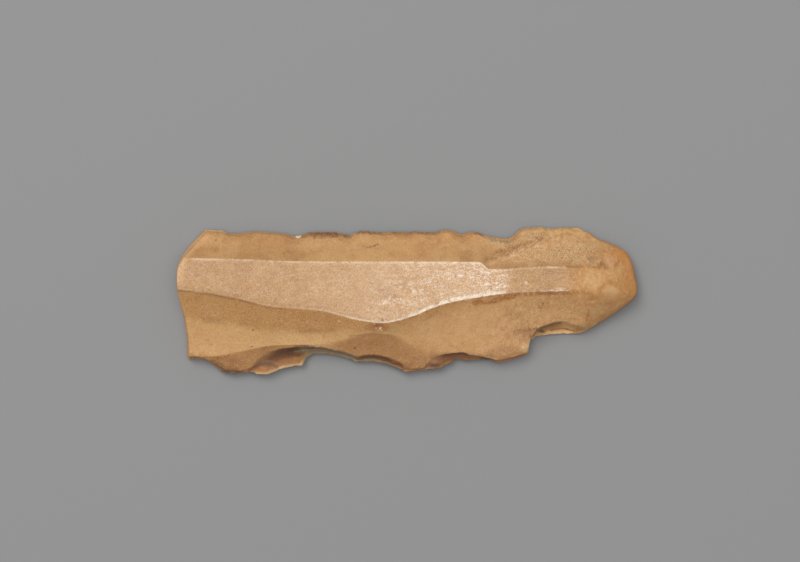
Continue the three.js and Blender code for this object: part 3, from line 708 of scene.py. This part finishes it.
    # painted highlight on the upper rim at the left end
    col = lay(col, (218, 180, 128), smooth(0.35, 0.0, edge_d) * span_x(198, 226) * e * 0.8)
    col = lay(col, (240, 222, 190), spot(px, py, 298.6, 236.6, 3.4, 1.9, -20) * upper_side)
    for a_, b_, dd in ((312, 336, 1.05), (342, 352, 0.6), (357, 382, 0.45), (392, 440, 0.3), (474, 484, 0.3)):
        k = span_x(a_, b_, 3) * smooth(dd * 1.3, dd * 0.2, edge_d + 0.3 * w2) * e
        col = lay(col, (128, 82, 46), k * (0.35 + 0.45 * smooth(-0.3, 0.3, w2)))
        grain = np.maximum(grain, k)
    col = lay(col, (126, 78, 34), smooth(1.5, 0.4, edge_d + 0.4 * w2) * span_x(310, 341, 4) * e * smooth(-0.05, 0.3, w4 + 0.4 * w2) * 0.65)
    col = lay(col, (196, 138, 72), smooth(1.3, 0.2, edge_d + 0.4 * w2) * span_x(306, 350, 5) * e * smooth(0.0, 0.35, -w4 - 0.2 * w2) * 0.5)
    col = lay(col, (138, 116, 88), spot(px, py, 347, 236.5, 5, 2.4) * 0.45 * upper_side)
    # painted highlight along the upper rim over the lobe and butt
    col = lay(col, (216, 173, 110), smooth(1.1, 0.2, edge_d + 0.3 * w1) * span_x(535, 596) * upper_side * 0.65)
    col = lay(col, (196, 142, 84), (spot(px, py, 448, 236, 9, 8, 0, 1.0) * 0.7 + spot(px, py, 474, 238, 9, 7, 0, 1.0) * 0.6) * upper_side)
    # ---- lobe: brown stepped line, partly painted shade of the step, rough pale patch above it, pinkish lip below
    side_d = lobe_side(x, y)
    on = span_x(486, 546, 4) * dorsal
    col = lay(col, (214, 168, 126), np.exp(-(((side_d - 0.1) / 0.35) ** 2)) * span_x(482, 516, 4) * dorsal * up * 0.7)
    col = lay(col, (160, 110, 58), np.exp(-(((side_d + 0.75 + 0.5 * w1) / 0.65) ** 2)) * on * 0.75)
    col = lay(col, (148, 98, 46), np.exp(-(((side_d + 0.75 + 0.5 * w1) / 0.6) ** 2)) * on * smooth(0.05, 0.4, w2) * 0.7)
    col = lay(col, (150, 100, 46), spot(px, py, 499, 252, 8, 4, -20, 1.0) * smooth(-0.2, 0.3, w2) * 0.8 * dorsal)
    col = lay(col, (150, 100, 46), (spot(px, py, 516, 247, 9, 3, -22, 1.0) * 0.6 + spot(px, py, 535, 241, 12, 2.6, -14, 1.0) * 0.65) * dorsal)
    rough = np.maximum(spot(px, py, 503, 243, 22, 5.0, 8, 1.0), spot(px, py, 537, 237, 18, 6, 0, 1.0)) * dorsal
    col = lay(col, (186, 156, 106), spot(px, py, 500, 241, 17, 5, 4, 1.0) * 0.45 * dorsal)
    arris = np.maximum(arris, rough)
    arris = np.maximum(arris, 0.95 * spot(px, py, 580, 253, 26, 12, 0, 1.0) * dorsal)
    arris = np.maximum(arris, 0.35 * spot(px, py, 592, 306, 16, 12, 0, 1.0) * dorsal)
    arris = np.maximum(arris, 0.95 * spot(px, py, 548, 254, 66, 18, 0, 1.0) * up)
    grain = np.maximum(grain, 0.6 * spot(px, py, 555, 252, 64, 20, 0, 1.0) * up)
    arris = np.maximum(arris, 0.4 * spot(px, py, 320, 343, 22, 9, 0, 1.0) * low)
    arris = np.maximum(arris, 0.5 * smooth(A1 + 0.8, A1 + 0.1, y) * up * smooth(330, 380, px) * (1 - smooth(460, 480, px)))
    grain = np.maximum(grain, rough * 0.8)
    grain = np.maximum(grain, 0.7 * spot(px, py, 330, 238, 34, 8, 0, 1.0) * up)
    grain = np.maximum(grain, 0.4 * low * (1 - k_knee) * (1 - right))
    grain = np.maximum(grain, 0.4 * smooth(470, 530, px) * dorsal)
    grain = np.maximum(grain, 0.5 * cen * (1 - smooth(360, 480, px)))
    # ---- brown line just under the lower arris, partly painted shade where the lower facet turns away from the light
    under = np.exp(-(((A2 - y - 0.28 - 0.12 * w2) / 0.22) ** 2)) * low
    col = lay(col, (146, 98, 52), under * (0.8 * (1 - smooth(262, 300, px)) + 0.6 * smooth(470, 484, px) * (1 - smooth(522, 536, px)) + 0.3 * span_x(395, 470, 6)) * smooth(-0.6, 0.1, w2 + 0.1))
    # painted highlight on the rim of the wedge beside the notch
    col = lay(col, (246, 214, 162), streak(px, py, [(530.6, 339), (529.6, 345), (529.2, 351.5)], 2.0, 0.7) * upper_side * 0.9)
    # ---- marks on the stone, by place
    for (a_, b_, rx, ry, tn, rgb, s) in SPOTS:
        col = lay(col, rgb, spot(px, py, a_, b_, rx, ry, tn, 0.9) * s * upper_side)
    for (pts, w, rgb, s) in STREAKS:
        col = lay(col, rgb, streak(px, py, pts, w) * s * dorsal)
    # ---- arrises: a crushed bright line, partly a painted highlight; a broad pale one along the lower arris to the right, partly frosted and partly a painted highlight
    up_line = np.exp(-(((y - A1 + 0.05) / (0.165 - 0.035 * smooth(320, 420, px) - 0.035 * smooth(490, 510, px))) ** 2)) * cen
    col = lay(col, (252, 230, 204), up_line * (0.6 + 0.28 * smooth(330, 470, px)) * smooth(-0.5, 0.2, w2 + 0.1) * smooth(186, 196, px) * (1 - 0.4 * smooth(484, 496, px)) * (1 - 0.35 * smooth(505, 520, px)))
    wd = 0.03 + 0.07 * smooth(300, 360, px) + 0.34 * smooth(395, 440, px) * (1 - smooth(498, 508, px))
    low_line = (1 - smooth(wd, wd + 0.11 + 0.03 * smooth(300, 360, px), (y - A2) + (0.08 + 0.12 * smooth(300, 360, px)) * w2 + 0.16 * w4)) * cen * (0.2 + 0.24 * smooth(240, 290, px) + 0.56 * smooth(350, 425, px)) * (1 - 0.75 * smooth(503, 512, px) * (1 - 0.7 * smooth(542, 550, px)))
    nicks = np.maximum.reduce([spot(px, py, 437, 303.8, 2.6, 1.5, -25), spot(px, py, 355.6, 317.6, 2.4, 1.3, 20), spot(px, py, 418, 311.8, 1.8, 1.2), spot(px, py, 399, 317.8, 1.8, 1.0), spot(px, py, 462, 296.8, 2.0, 1.1)])
    low_line = low_line * (1 - 0.85 * nicks) * (1 - 0.45 * smooth(0.12, 0.4, w4) * smooth(300, 350, px))
    col = lay(col, (230, 190, 140), low_line * 0.95 * (1 - smooth(285, 345, px)))
    col = lay(col, (255, 244, 228), low_line * 0.95 * smooth(285, 345, px))
    col = lay(col, (238, 208, 172), low * smooth(0.24, 0.04, A2 - y) * smooth(0.12, 0.4, w4) * smooth(330, 400, px) * (1 - smooth(505, 530, px)) * 0.6)
    # mottling, a few pixels wide, on the right half
    mott = dorsal * (1 - (band > 0)) * (1 - cen) * smooth(380, 470, px)
    col = lay(col, (168, 120, 72), mott * smooth(0.1, 0.55, 0.6 * w2 + 0.6 * w1) * 0.34)
    col = lay(col, (216, 172, 122), mott * smooth(0.1, 0.55, -0.7 * w2 - 0.4 * w1) * 0.34)
    col = lay(col, (170, 122, 78), mott * smooth(0.15, 0.6, w4) * smooth(470, 520, px) * 0.42)
    col = lay(col, (222, 182, 136), mott * smooth(0.15, 0.6, -w4) * smooth(470, 520, px) * 0.42)
    smooth_butt = smooth(568, 584, px) * dorsal * (1 - spot(px, py, 580, 250, 30, 16, 0, 1.0))
    col = lay(col, (188, 130, 68), dorsal * smooth(572, 590, px) * smooth(0.05, 0.5, w1 - 0.3 * w2) * 0.5)
    col = lay(col, (206, 162, 108), dorsal * smooth(572, 590, px) * smooth(0.1, 0.5, -w1 - 0.4 * w2) * 0.42)
    ring_d = np.hypot(px - 611, (py - 292.8) * 1.04)
    col = lay(col, (172, 116, 56), np.exp(-(((ring_d - 10.4) / 2.2) ** 2)) * dorsal * (0.38 + 0.36 * smooth(-6, 6, (611 - px) + (py - 292.8))) * smooth(-0.5, 0.3, w2))
    col = lay(col, (208, 169, 120), (1 - smooth(5.5, 9.0, ring_d)) * dorsal * 0.52 * smooth(-0.7, 0.2, w2))
    col = lay(col, (184, 132, 78), low * smooth(545, 572, px) * 0.25)
    # underside: plain, cloudy, with the ripples faintly darker
    under_side = (side > 1.2).astype(float)
    r_b = np.hypot(x - 36.5, y - 3.4)
    col = lay(col, (190, 143, 90), under_side * 0.8)
    col = lay(col, (166, 118, 68), under_side * smooth(0.0, 0.5, w3) * 0.5)
    col = lay(col, (210, 168, 118), under_side * smooth(0.05, 0.5, -w1) * 0.4)
    col = lay(col, (170, 122, 74), under_side * smooth(0.3, 1.0, np.sin(r_b * 2.1 + 0.8 * noise(x / 7, y / 7, 0, 61))) * smooth(9, 20, r_b) * 0.22)
    col = lay(col, (150, 104, 62), under_side * smooth(0.25, 0.6, w2) * smooth(0.0, 0.4, w3) * 0.5)
    grain = grain * (1 - smooth_butt) - 0.22 * smooth_butt
    arris = arris * (1 - 0.7 * smooth_butt)
    grain = np.where(band > 0, -0.34, grain)
    return col, frost_sheen, grain, arris


TONE = dict(base=(196, 150, 96), upper=(199, 154, 101), low_dark=(186, 138, 82), low_light=(199, 155, 100), low_right=(202, 156, 103), tri=(176, 128, 78), centre=(205, 163, 118), centre_left=(190, 146, 96), centre_end=(183, 138, 82), butt=(192, 142, 82))
SPOTS = [
    # crystal pit and its halo
    (378, 327, 15, 6.5, 0, (166, 108, 56), 0.75), (376, 325, 3.0, 2.4, 0, (134, 92, 56), 0.6), (380, 328.5, 1.5, 1.3, 0, (244, 232, 210), 0.8),
    (376, 328, 1.1, 0.9, 0, (238, 226, 204), 0.6), (374.5, 324.5, 1.2, 1.0, 0, (228, 206, 170), 0.8), (382.5, 320, 1.5, 1.2, 0, (90, 56, 34), 1.0),
    (381.5, 330.5, 1.2, 1.1, 0, (232, 214, 186), 0.6),
    # brown marks under the lower arris
    (492, 301.5, 6, 2.0, 4, (138, 90, 46), 0.8), (507, 297.5, 4.5, 1.6, 6, (146, 98, 54), 0.7), (430, 317, 9, 3.0, -28, (160, 114, 72), 0.4),
    (437, 304.5, 2.2, 1.4, 0, (150, 108, 68), 0.9), (545, 292.5, 9, 1.2, 0, (150, 102, 56), 0.6),
    # smudges and bright marks on the flat facet; the bright ones are partly painted sheen
    (393, 296.5, 12, 2.6, 10, (172, 128, 88), 0.7), (386, 295.5, 16, 4.2, 11, (184, 140, 100), 0.55), (383, 290, 9, 1.8, -4, (184, 140, 102), 0.5), (372, 283, 12, 2.2, 3, (190, 148, 108), 0.6), (328, 277, 12, 3.0, 0, (196, 154, 114), 0.5),
    (460, 275, 3.6, 2.8, 0, (252, 238, 226), 0.9), (526, 283, 2.4, 2.0, 0, (242, 214, 180), 0.8), (384, 303, 3.2, 2.8, 0, (244, 214, 178), 0.8),
    # (561, 288.5) and (553, 267.5) are thin painted highlights on the two arrises near the right end of the flat facet
    (258, 285, 2.8, 1.5, -20, (232, 200, 164), 0.5), (561, 288.5, 8, 1.0, 4, (232, 200, 160), 0.7), (553, 267.5, 9, 0.9, 0, (230, 198, 158), 0.7),
    (548, 272, 7, 3.0, 0, (178, 138, 104), 0.6), (537, 273, 5, 3.0, 0, (184, 146, 112), 0.4),
    # butt: boss, small scar and crease with painted shade in them, smudge
    (602, 298, 9, 7.5, 30, (176, 120, 60), 0.6), (609.5, 294, 12.5, 11.5, 0, (172, 118, 60), 0.6), (611.5, 292.6, 9.0, 8.4, 0, (200, 156, 104), 0.7),
    (613, 267, 9, 3.4, -24, (176, 118, 54), 0.6), (620, 258, 9, 11, -20, (186, 120, 50), 0.65), (628, 268, 3.4, 6, 0, (198, 128, 84), 0.5),
    # the dark marks (592, 259), (601.5, 265) and (604, 268.5) are painted shade in the crease and the small scar
    (592, 259, 7.0, 4.4, -8, (142, 106, 70), 0.75), (609.5, 260.5, 9.0, 6.6, -10, (188, 140, 98), 0.9), (601.5, 265, 6.0, 4.2, 30, (138, 84, 34), 0.9), (604, 268.5, 10, 2.0, 4, (150, 96, 46), 0.85), (616, 268, 5, 4, 0, (184, 126, 58), 0.6),
    (598, 252.5, 6.0, 2.4, -8, (176, 140, 80), 0.6), (605, 250, 3.4, 2.6, 0, (214, 170, 118), 0.7), (586, 323.5, 4.4, 2.0, 20, (206, 132, 74), 0.6), (591, 325.5, 3.0, 1.4, 0, (176, 112, 54), 0.6),
    (628, 300, 8, 3.4, -32, (178, 116, 70), 0.6), (569, 262, 4.6, 2.4, 0, (150, 110, 74), 0.5), (592.7, 302, 1.7, 2.2, 0, (232, 196, 142), 0.7), (585.5, 309.5, 3.0, 2.4, 0, (218, 176, 126), 0.5),
    # (526, 333) is painted shade of a shallow fold left of the notch
    (581, 293, 14, 3.2, 6, (178, 126, 68), 0.55), (572, 320, 8, 3.0, 0, (170, 126, 86), 0.4), (529.5, 337, 3.2, 2.2, -40, (180, 112, 72), 0.5), (526, 333, 9, 8, -35, (160, 114, 74), 0.45),
    (560, 252, 12, 5.0, 0, (176, 148, 98), 0.35), (584, 246, 8, 2.4, -10, (168, 140, 84), 0.45),
    # along the lower edge: warm tip, and a bright wedge beside the notch, painted lighter against its shade
    (420, 362, 14, 8, 0, (166, 119, 76), 0.6), (408, 364.5, 7, 3, 10, (146, 102, 62), 0.6), (434, 357, 6, 2.4, -20, (150, 102, 58), 0.5), (434, 361, 5, 2.4, 0, (180, 138, 98), 0.6), (434, 356, 8, 7, 0, (152, 108, 68), 0.4),
    (503, 352, 22, 6.5, -6, (168, 121, 76), 0.75), (526, 348, 7, 7, 0, (240, 198, 144), 0.85), (532, 346, 4, 8, 0, (244, 206, 154), 0.7),
    # pits
    (216, 240, 1.4, 1.2, 0, (104, 68, 40), 0.8), (252, 346.5, 2.0, 1.2, 0, (122, 84, 48), 0.75), (253, 330, 1.6, 1.3, 0, (132, 88, 46), 0.65),
    (274, 326, 1.4, 1.2, 0, (130, 88, 50), 0.7), (569, 250, 1.8, 1.5, 0, (120, 80, 46), 0.9), (604.6, 251, 1.5, 1.3, 0, (96, 70, 42), 0.95),
    (613.8, 250.6, 1.5, 1.3, 0, (158, 88, 36), 0.9), (543, 304, 1.4, 1.2, 0, (122, 84, 48), 0.7), (572, 260, 1.2, 1.0, 0, (120, 82, 50), 0.8),
    (355, 348, 1.8, 1.4, 0, (108, 70, 42), 0.9), (370.5, 247, 1.3, 1.0, 0, (128, 84, 48), 0.7), (374.6, 245.6, 1.5, 1.1, 0, (112, 72, 40), 0.85),
    (377.5, 244.5, 1.2, 1.0, 0, (124, 80, 44), 0.75), (284, 254, 1.2, 1.0, 0, (128, 86, 48), 0.6), (236, 305, 1.2, 1.0, 0, (140, 96, 54), 0.6),
    (517, 306, 2.2, 1.2, 10, (140, 98, 60), 0.6), (600, 244, 1.2, 1.0, 0, (140, 90, 50), 0.7), (339, 321, 1.3, 1.0, 0, (240, 216, 178), 0.8),
    (307, 321, 1.3, 1.0, 0, (236, 208, 166), 0.6), (216, 250, 5.0, 3.6, 0, (166, 116, 64), 0.4), (260, 240, 5, 3.6, 0, (178, 126, 72), 0.5),
    # left scar facet: pale, light patches
    (215, 350, 18, 6.5, 0, (210, 166, 112), 0.4), (285, 338, 30, 4.5, 0, (210, 168, 116), 0.35), (235, 362, 12, 4.0, 0, (150, 98, 52), 0.5),
    # (520, 336) is painted shade of the fold beside the notch
    (520, 336, 12, 6.0, 40, (164, 118, 74), 0.5), (478, 331, 26, 8.0, 0, (208, 166, 116), 0.4), (430, 336, 22, 9.0, 0, (206, 162, 110), 0.4),
    # a pale painted highlight on the upper lip of the dark scar
    (297, 351.6, 5.5, 1.0, -8, (142, 134, 106), 0.6), (305, 350.4, 8, 1.6, 2, (156, 142, 110), 0.5),
]
STREAKS = [
    # dark line along the upper limit of a steep scar: painted shade of the step
    ([(296, 347.2), (304, 346.8), (313, 347.4)], 2.3, (92, 72, 52), 0.7),
    # brown band just under the lower arris at the right, partly painted shade
    ([(474, 303), (488, 301.6), (500, 299.4), (514, 296)], 3.2, (156, 94, 34), 0.75),
    ([(505, 294.6), (530, 293.4), (552, 292.4), (569, 292.4)], 3.0, (158, 100, 40), 0.65),
    ([(536, 294.5), (552, 293), (566, 292)], 2.2, (148, 100, 54), 0.4),
    ([(588.8, 311), (587.5, 316), (586, 321)], 1.0, (156, 104, 54), 0.75),
    # painted shade along the lower right edge of the butt
    ([(600, 318.5), (614, 311), (628, 303)], 1.0, (172, 120, 66), 0.4),
    ([(220, 368.4), (224, 370.8), (231, 371.8), (236, 371.8)], 3.4, (96, 72, 52), 0.85),
    ([(214, 363), (221, 367), (228, 368.4), (236, 369.4)], 4.0, (142, 98, 58), 0.5),
    # painted shade along the fold left of the notch
    ([(528, 329.6), (536.5, 328.2)], 1.4, (134, 96, 60), 0.7),
    ([(303, 236), (312, 233.5), (324, 233.5), (336, 235.5)], 3.2, (126, 78, 42), 0.5),
    ([(350, 251), (360, 249.5), (371, 248.2)], 0.9, (166, 146, 112), 0.45),
    ([(366, 247.8), (378, 244.6)], 0.8, (136, 94, 58), 0.45),
    # painted shade along the crease by the butt
    ([(568, 266.8), (592, 266.6), (604, 268.2), (612, 267), (619, 262)], 1.8, (154, 104, 54), 0.65),
    ([(568, 291.5), (584, 294), (595, 298.5), (601, 303), (610, 306)], 4.2, (168, 112, 50), 0.6),
    ([(188, 357.5), (212, 357.2), (230, 354.2), (245, 351.3), (260, 348.2), (275, 345.7), (300, 345)], 0.9, (176, 118, 60), 0.5),
    ([(350, 336), (371, 333.5), (392, 335.5)], 1.6, (150, 106, 66), 0.4),
    # painted shade along the fold left of the notch
    ([(515, 331), (528, 330), (537, 329)], 1.8, (134, 92, 58), 0.55),
    ([(553, 318), (578, 319), (600, 321), (620, 314)], 1.2, (170, 118, 64), 0.3),
    # painted shade along the lower right edge of the butt, which faces away from the light
    ([(585, 334), (600, 323), (616, 313.5), (630, 303)], 3.5, (176, 118, 66), 0.35),
]


col_, frost_sheen_, grain_, arris_ = paint(pos, side, gi_, gj_, facet_, frac_)


# ------------------------------------------------------------------ mesh object
def make_mesh(name, pos, quads, polys):
    m = bpy.data.meshes.new(name)
    starts = np.concatenate([np.arange(len(quads)) * 4, len(quads) * 4 + np.concatenate([[0], np.cumsum([len(p) for p in polys])[:-1]])]).astype(np.int32)
    totals = np.concatenate([np.full(len(quads), 4), [len(p) for p in polys]]).astype(np.int32)
    loops = np.concatenate([quads.ravel(), np.array([v for p in polys for v in p])]).astype(np.int32)
    m.vertices.add(len(pos))
    m.vertices.foreach_set("co", (pos * 0.001).astype(np.float32).ravel())
    m.loops.add(len(loops))
    m.loops.foreach_set("vertex_index", loops)
    m.polygons.add(len(totals))
    m.polygons.foreach_set("loop_start", starts)
    m.polygons.foreach_set("loop_total", totals)
    m.update(calc_edges=True)
    m.validate()
    m.polygons.foreach_set("use_smooth", np.ones(len(m.polygons), bool))
    return m


mesh = make_mesh("flint_blade_fine", pos, quads, polys)
for name, data in (("frost_sheen", frost_sheen_), ("grain", grain_), ("arris", arris_)):
    mesh.attributes.new(name, "FLOAT", "POINT").data.foreach_set("value", data.astype(np.float32))
ca = mesh.attributes.new("tone", "FLOAT_COLOR", "POINT")
ca.data.foreach_set("color", np.concatenate([col_, np.ones((len(col_), 1))], 1).astype(np.float32).ravel())
blade = bpy.data.objects.new("blade_stone", mesh)
bpy.context.scene.collection.objects.link(blade)


# ------------------------------------------------------------------ material
def flint():
    mat = bpy.data.materials.new("flint")
    mat.use_nodes = True
    nt = mat.node_tree
    nt.nodes.clear()
    N, K = nt.nodes.new, nt.links.new
    out, bsdf = N("ShaderNodeOutputMaterial"), N("ShaderNodeBsdfPrincipled")
    K(bsdf.outputs[0], out.inputs[0])
    bsdf.inputs["IOR"].default_value = 1.5
    co = N("ShaderNodeTexCoord").outputs["Object"]

    def attr(name, out="Fac"):
        a = N("ShaderNodeAttribute")
        a.attribute_name = name
        return a.outputs[out]

    def tex(size_mm, detail=4.0, rough=0.55, off=(0, 0, 0), stretch=(1, 1, 1)):
        mp = N("ShaderNodeMapping")
        mp.inputs["Location"].default_value = off
        mp.inputs["Scale"].default_value = stretch
        K(co, mp.inputs["Vector"])
        t = N("ShaderNodeTexNoise")
        t.inputs["Scale"].default_value = 1000.0 / size_mm
        t.inputs["Detail"].default_value = detail
        t.inputs["Roughness"].default_value = rough
        K(mp.outputs[0], t.inputs["Vector"])
        return t.outputs["Fac"]

    def ramp(v, a, b, lo=0.0, hi=1.0):
        r = N("ShaderNodeMapRange")
        r.interpolation_type = "SMOOTHSTEP"
        for k, s in zip(("From Min", "From Max", "To Min", "To Max"), (a, b, lo, hi)):
            r.inputs[k].default_value = s
        K(v, r.inputs["Value"])
        return r.outputs[0]

    def math_(op, a, b):
        m = N("ShaderNodeMath")
        m.operation = op
        for s, v in zip(m.inputs, (a, b)):
            if isinstance(v, (int, float)):
                s.default_value = v
            else:
                K(v, s)
        return m.outputs[0]

    def mixc(fac, a, b, kind="MIX"):
        m = N("ShaderNodeMix")
        m.data_type = "RGBA"
        m.blend_type = kind
        for s, v in ((m.inputs["Factor"], fac), (m.inputs["A"], a), (m.inputs["B"], b)):
            if s.type == "RGBA" or not hasattr(v, "node"):
                pass
        fs, As, Bs = m.inputs[0], m.inputs[6], m.inputs[7]
        for s, v in ((fs, fac), (As, a), (Bs, b)):
            if isinstance(v, (int, float)):
                s.default_value = v
            elif isinstance(v, (tuple, list, np.ndarray)):
                s.default_value = tuple(v) + (1.0,)
            else:
                K(v, s)
        return m.outputs[2]

    tone = attr("tone", "Color")
    frost_sheen, grain, pale = attr("frost_sheen"), attr("grain"), attr("arris")
    c = tone
    # broad clouding, warmer and darker against paler
    c = mixc(ramp(tex(7.0, 3.0), 0.35, 0.7, 0.0, 0.22), c, mixc(1.0, c, lin((226, 190, 150)), "MULTIPLY"))
    c = mixc(ramp(tex(1.6, 4.0, 0.6, (0.3, 0, 0)), 0.42, 0.75, 0.0, 0.28), c, mixc(1.0, c, lin((214, 186, 158)), "MULTIPLY"))
    # fine grain of the stone
    fine = tex(0.17, 2.0, 0.6, (0, 0.2, 0))
    dark = math_("ADD", math_("MULTIPLY", grain, 0.55), 0.26)
    calm = math_("ADD", math_("MULTIPLY", math_("MINIMUM", grain, 0.0), 2.3), 1.0)
    c = mixc(math_("MULTIPLY", ramp(fine, 0.5, 0.66), dark), c, mixc(1.0, c, lin((176, 154, 118)), "MULTIPLY"))
    c = mixc(ramp(tex(0.5, 3.0, 0.7, (0.4, 0.2, 0)), 0.52, 0.72, 0.0, 0.34), c, mixc(1.0, c, lin((198, 168, 134)), "MULTIPLY"))
    c = mixc(math_("MULTIPLY", ramp(tex(0.20, 2.0, 0.6, (0.1, 0.7, 0)), 0.52, 0.7, 0.0, 0.26), calm), c, lin((238, 206, 164)))
    c = mixc(math_("MULTIPLY", math_("MULTIPLY", ramp(tex(0.2, 2.0, 0.7, (0.15, 0.35, 0)), 0.53, 0.66), math_("MULTIPLY", pale, 0.6)), calm), c, lin((238, 220, 186)))
    # frosted speckle on the flat facet, partly a painted sheen
    patch = ramp(tex(1.3, 3.0, 0.6, (0.25, 0.6, 0), (0.45, 1, 1)), 0.4, 0.62, 0.45, 1.1)
    hz = math_("MULTIPLY", frost_sheen, patch)
    c = mixc(math_("MULTIPLY", ramp(tex(0.42, 3.0, 0.65, (0.3, 0.8, 0), (0.7, 1, 1)), 0.46, 0.64, 0.0, 0.5), hz), c, lin((244, 222, 198)))
    c = mixc(math_("MULTIPLY", ramp(tex(0.2, 2.0, 0.6, (0.5, 0.1, 0)), 0.49, 0.64, 0.0, 0.70), hz), c, lin((251, 235, 215)))
    c = mixc(math_("MULTIPLY", ramp(tex(0.4, 3.0, 0.7, (0.7, 0.3, 0), (0.6, 1, 1)), 0.50, 0.66, 0.0, 0.62), frost_sheen), c, lin((176, 130, 86)))
    # sparse dark pits
    v = N("ShaderNodeTexVoronoi")
    v.inputs["Scale"].default_value = 1000.0 / 2.2
    K(co, v.inputs["Vector"])
    pit = ramp(v.outputs["Distance"], 0.03, 0.075, 1.0, 0.0)
    keep = ramp(tex(1.1, 1.0, 0.5, (0.9, 0.4, 0)), 0.57, 0.6)
    c = mixc(math_("MULTIPLY", math_("MULTIPLY", pit, keep), 0.5), c, lin((128, 84, 44)))
    K(c, bsdf.inputs["Base Color"])
    rr = ramp(tex(0.5, 3.0, 0.6), 0.3, 0.7, 0.44, 0.62)
    K(rr, bsdf.inputs["Roughness"])
    b = N("ShaderNodeBump")
    b.inputs["Distance"].default_value = 0.00008
    b.inputs["Strength"].default_value = 0.6
    h = tex(0.22, 4.0, 0.65, (0.2, 0.2, 0.2))
    h = math_("MULTIPLY", h, math_("ADD", math_("MULTIPLY", grain, 1.6), 0.55))
    h = math_("ADD", h, math_("MULTIPLY", tex(0.9, 3.0, 0.6, (0.6, 0.2, 0.2)), 0.9))
    K(h, b.inputs["Height"])
    K(b.outputs[0], bsdf.inputs["Normal"])
    return mat


mesh.materials.append(flint())
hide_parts(NODE)
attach(blade, "root")


# ------------------------------------------------------------------ floor, camera and light
def floor():
    m = bpy.data.meshes.new("floor")
    r = 1.2
    m.from_pydata([(-r, -r, -2e-5), (r, -r, -2e-5), (r, r, -2e-5), (-r, r, -2e-5)], [], [(0, 1, 2, 3)])
    o = bpy.data.objects.new("floor", m)
    bpy.context.scene.collection.objects.link(o)
    mat = bpy.data.materials.new("floor_matt")
    mat.use_nodes = True
    b = mat.node_tree.nodes["Principled BSDF"]
    b.inputs["Base Color"].default_value = (0.275, 0.275, 0.275, 1)
    b.inputs["Roughness"].default_value = 0.95
    b.inputs["Specular IOR Level"].default_value = 0.1
    m.materials.append(mat)
    return o


floor()
cam = bpy.data.cameras.new("camera")
cam.lens, cam.sensor_width = 100.0, 36.0
cam.clip_start, cam.clip_end = 0.01, 20.0
co = bpy.data.objects.new("camera", cam)
cx, cy = P(400, 281)
co.location = ((cx - CENTRE[0]) * 0.001, (cy - CENTRE[1]) * 0.001, (LEVEL + CAM_UP) * 0.001)
bpy.context.scene.collection.objects.link(co)
bpy.context.scene.camera = co


def area(name, loc, size, power, colour=(1, 1, 1)):
    l = bpy.data.lights.new(name, "AREA")
    l.shape, l.size, l.energy, l.color = "DISK", size, power, colour
    o = bpy.data.objects.new(name, l)
    o.location = loc
    v = -np.array(loc, float)
    v /= np.linalg.norm(v)
    el, az = math.acos(-v[2]), math.atan2(v[1], v[0])
    o.rotation_euler = (0.0, 0.0, 0.0)
    from mathutils import Vector
    o.rotation_euler = Vector(-v).to_track_quat("Z", "Y").to_euler()
    bpy.context.scene.collection.objects.link(o)


area("key", (-0.28, 0.44, 0.78), 0.5, 3.6)
area("top", (0.0, 0.05, 0.95), 0.9, 4.25)
w = bpy.data.worlds.new("world")
w.use_nodes = True
w.node_tree.nodes["Background"].inputs[0].default_value = (1, 1, 1, 1)
w.node_tree.nodes["Background"].inputs[1].default_value = 0.37
bpy.context.scene.world = w
bpy.context.scene.view_settings.view_transform = "Standard"
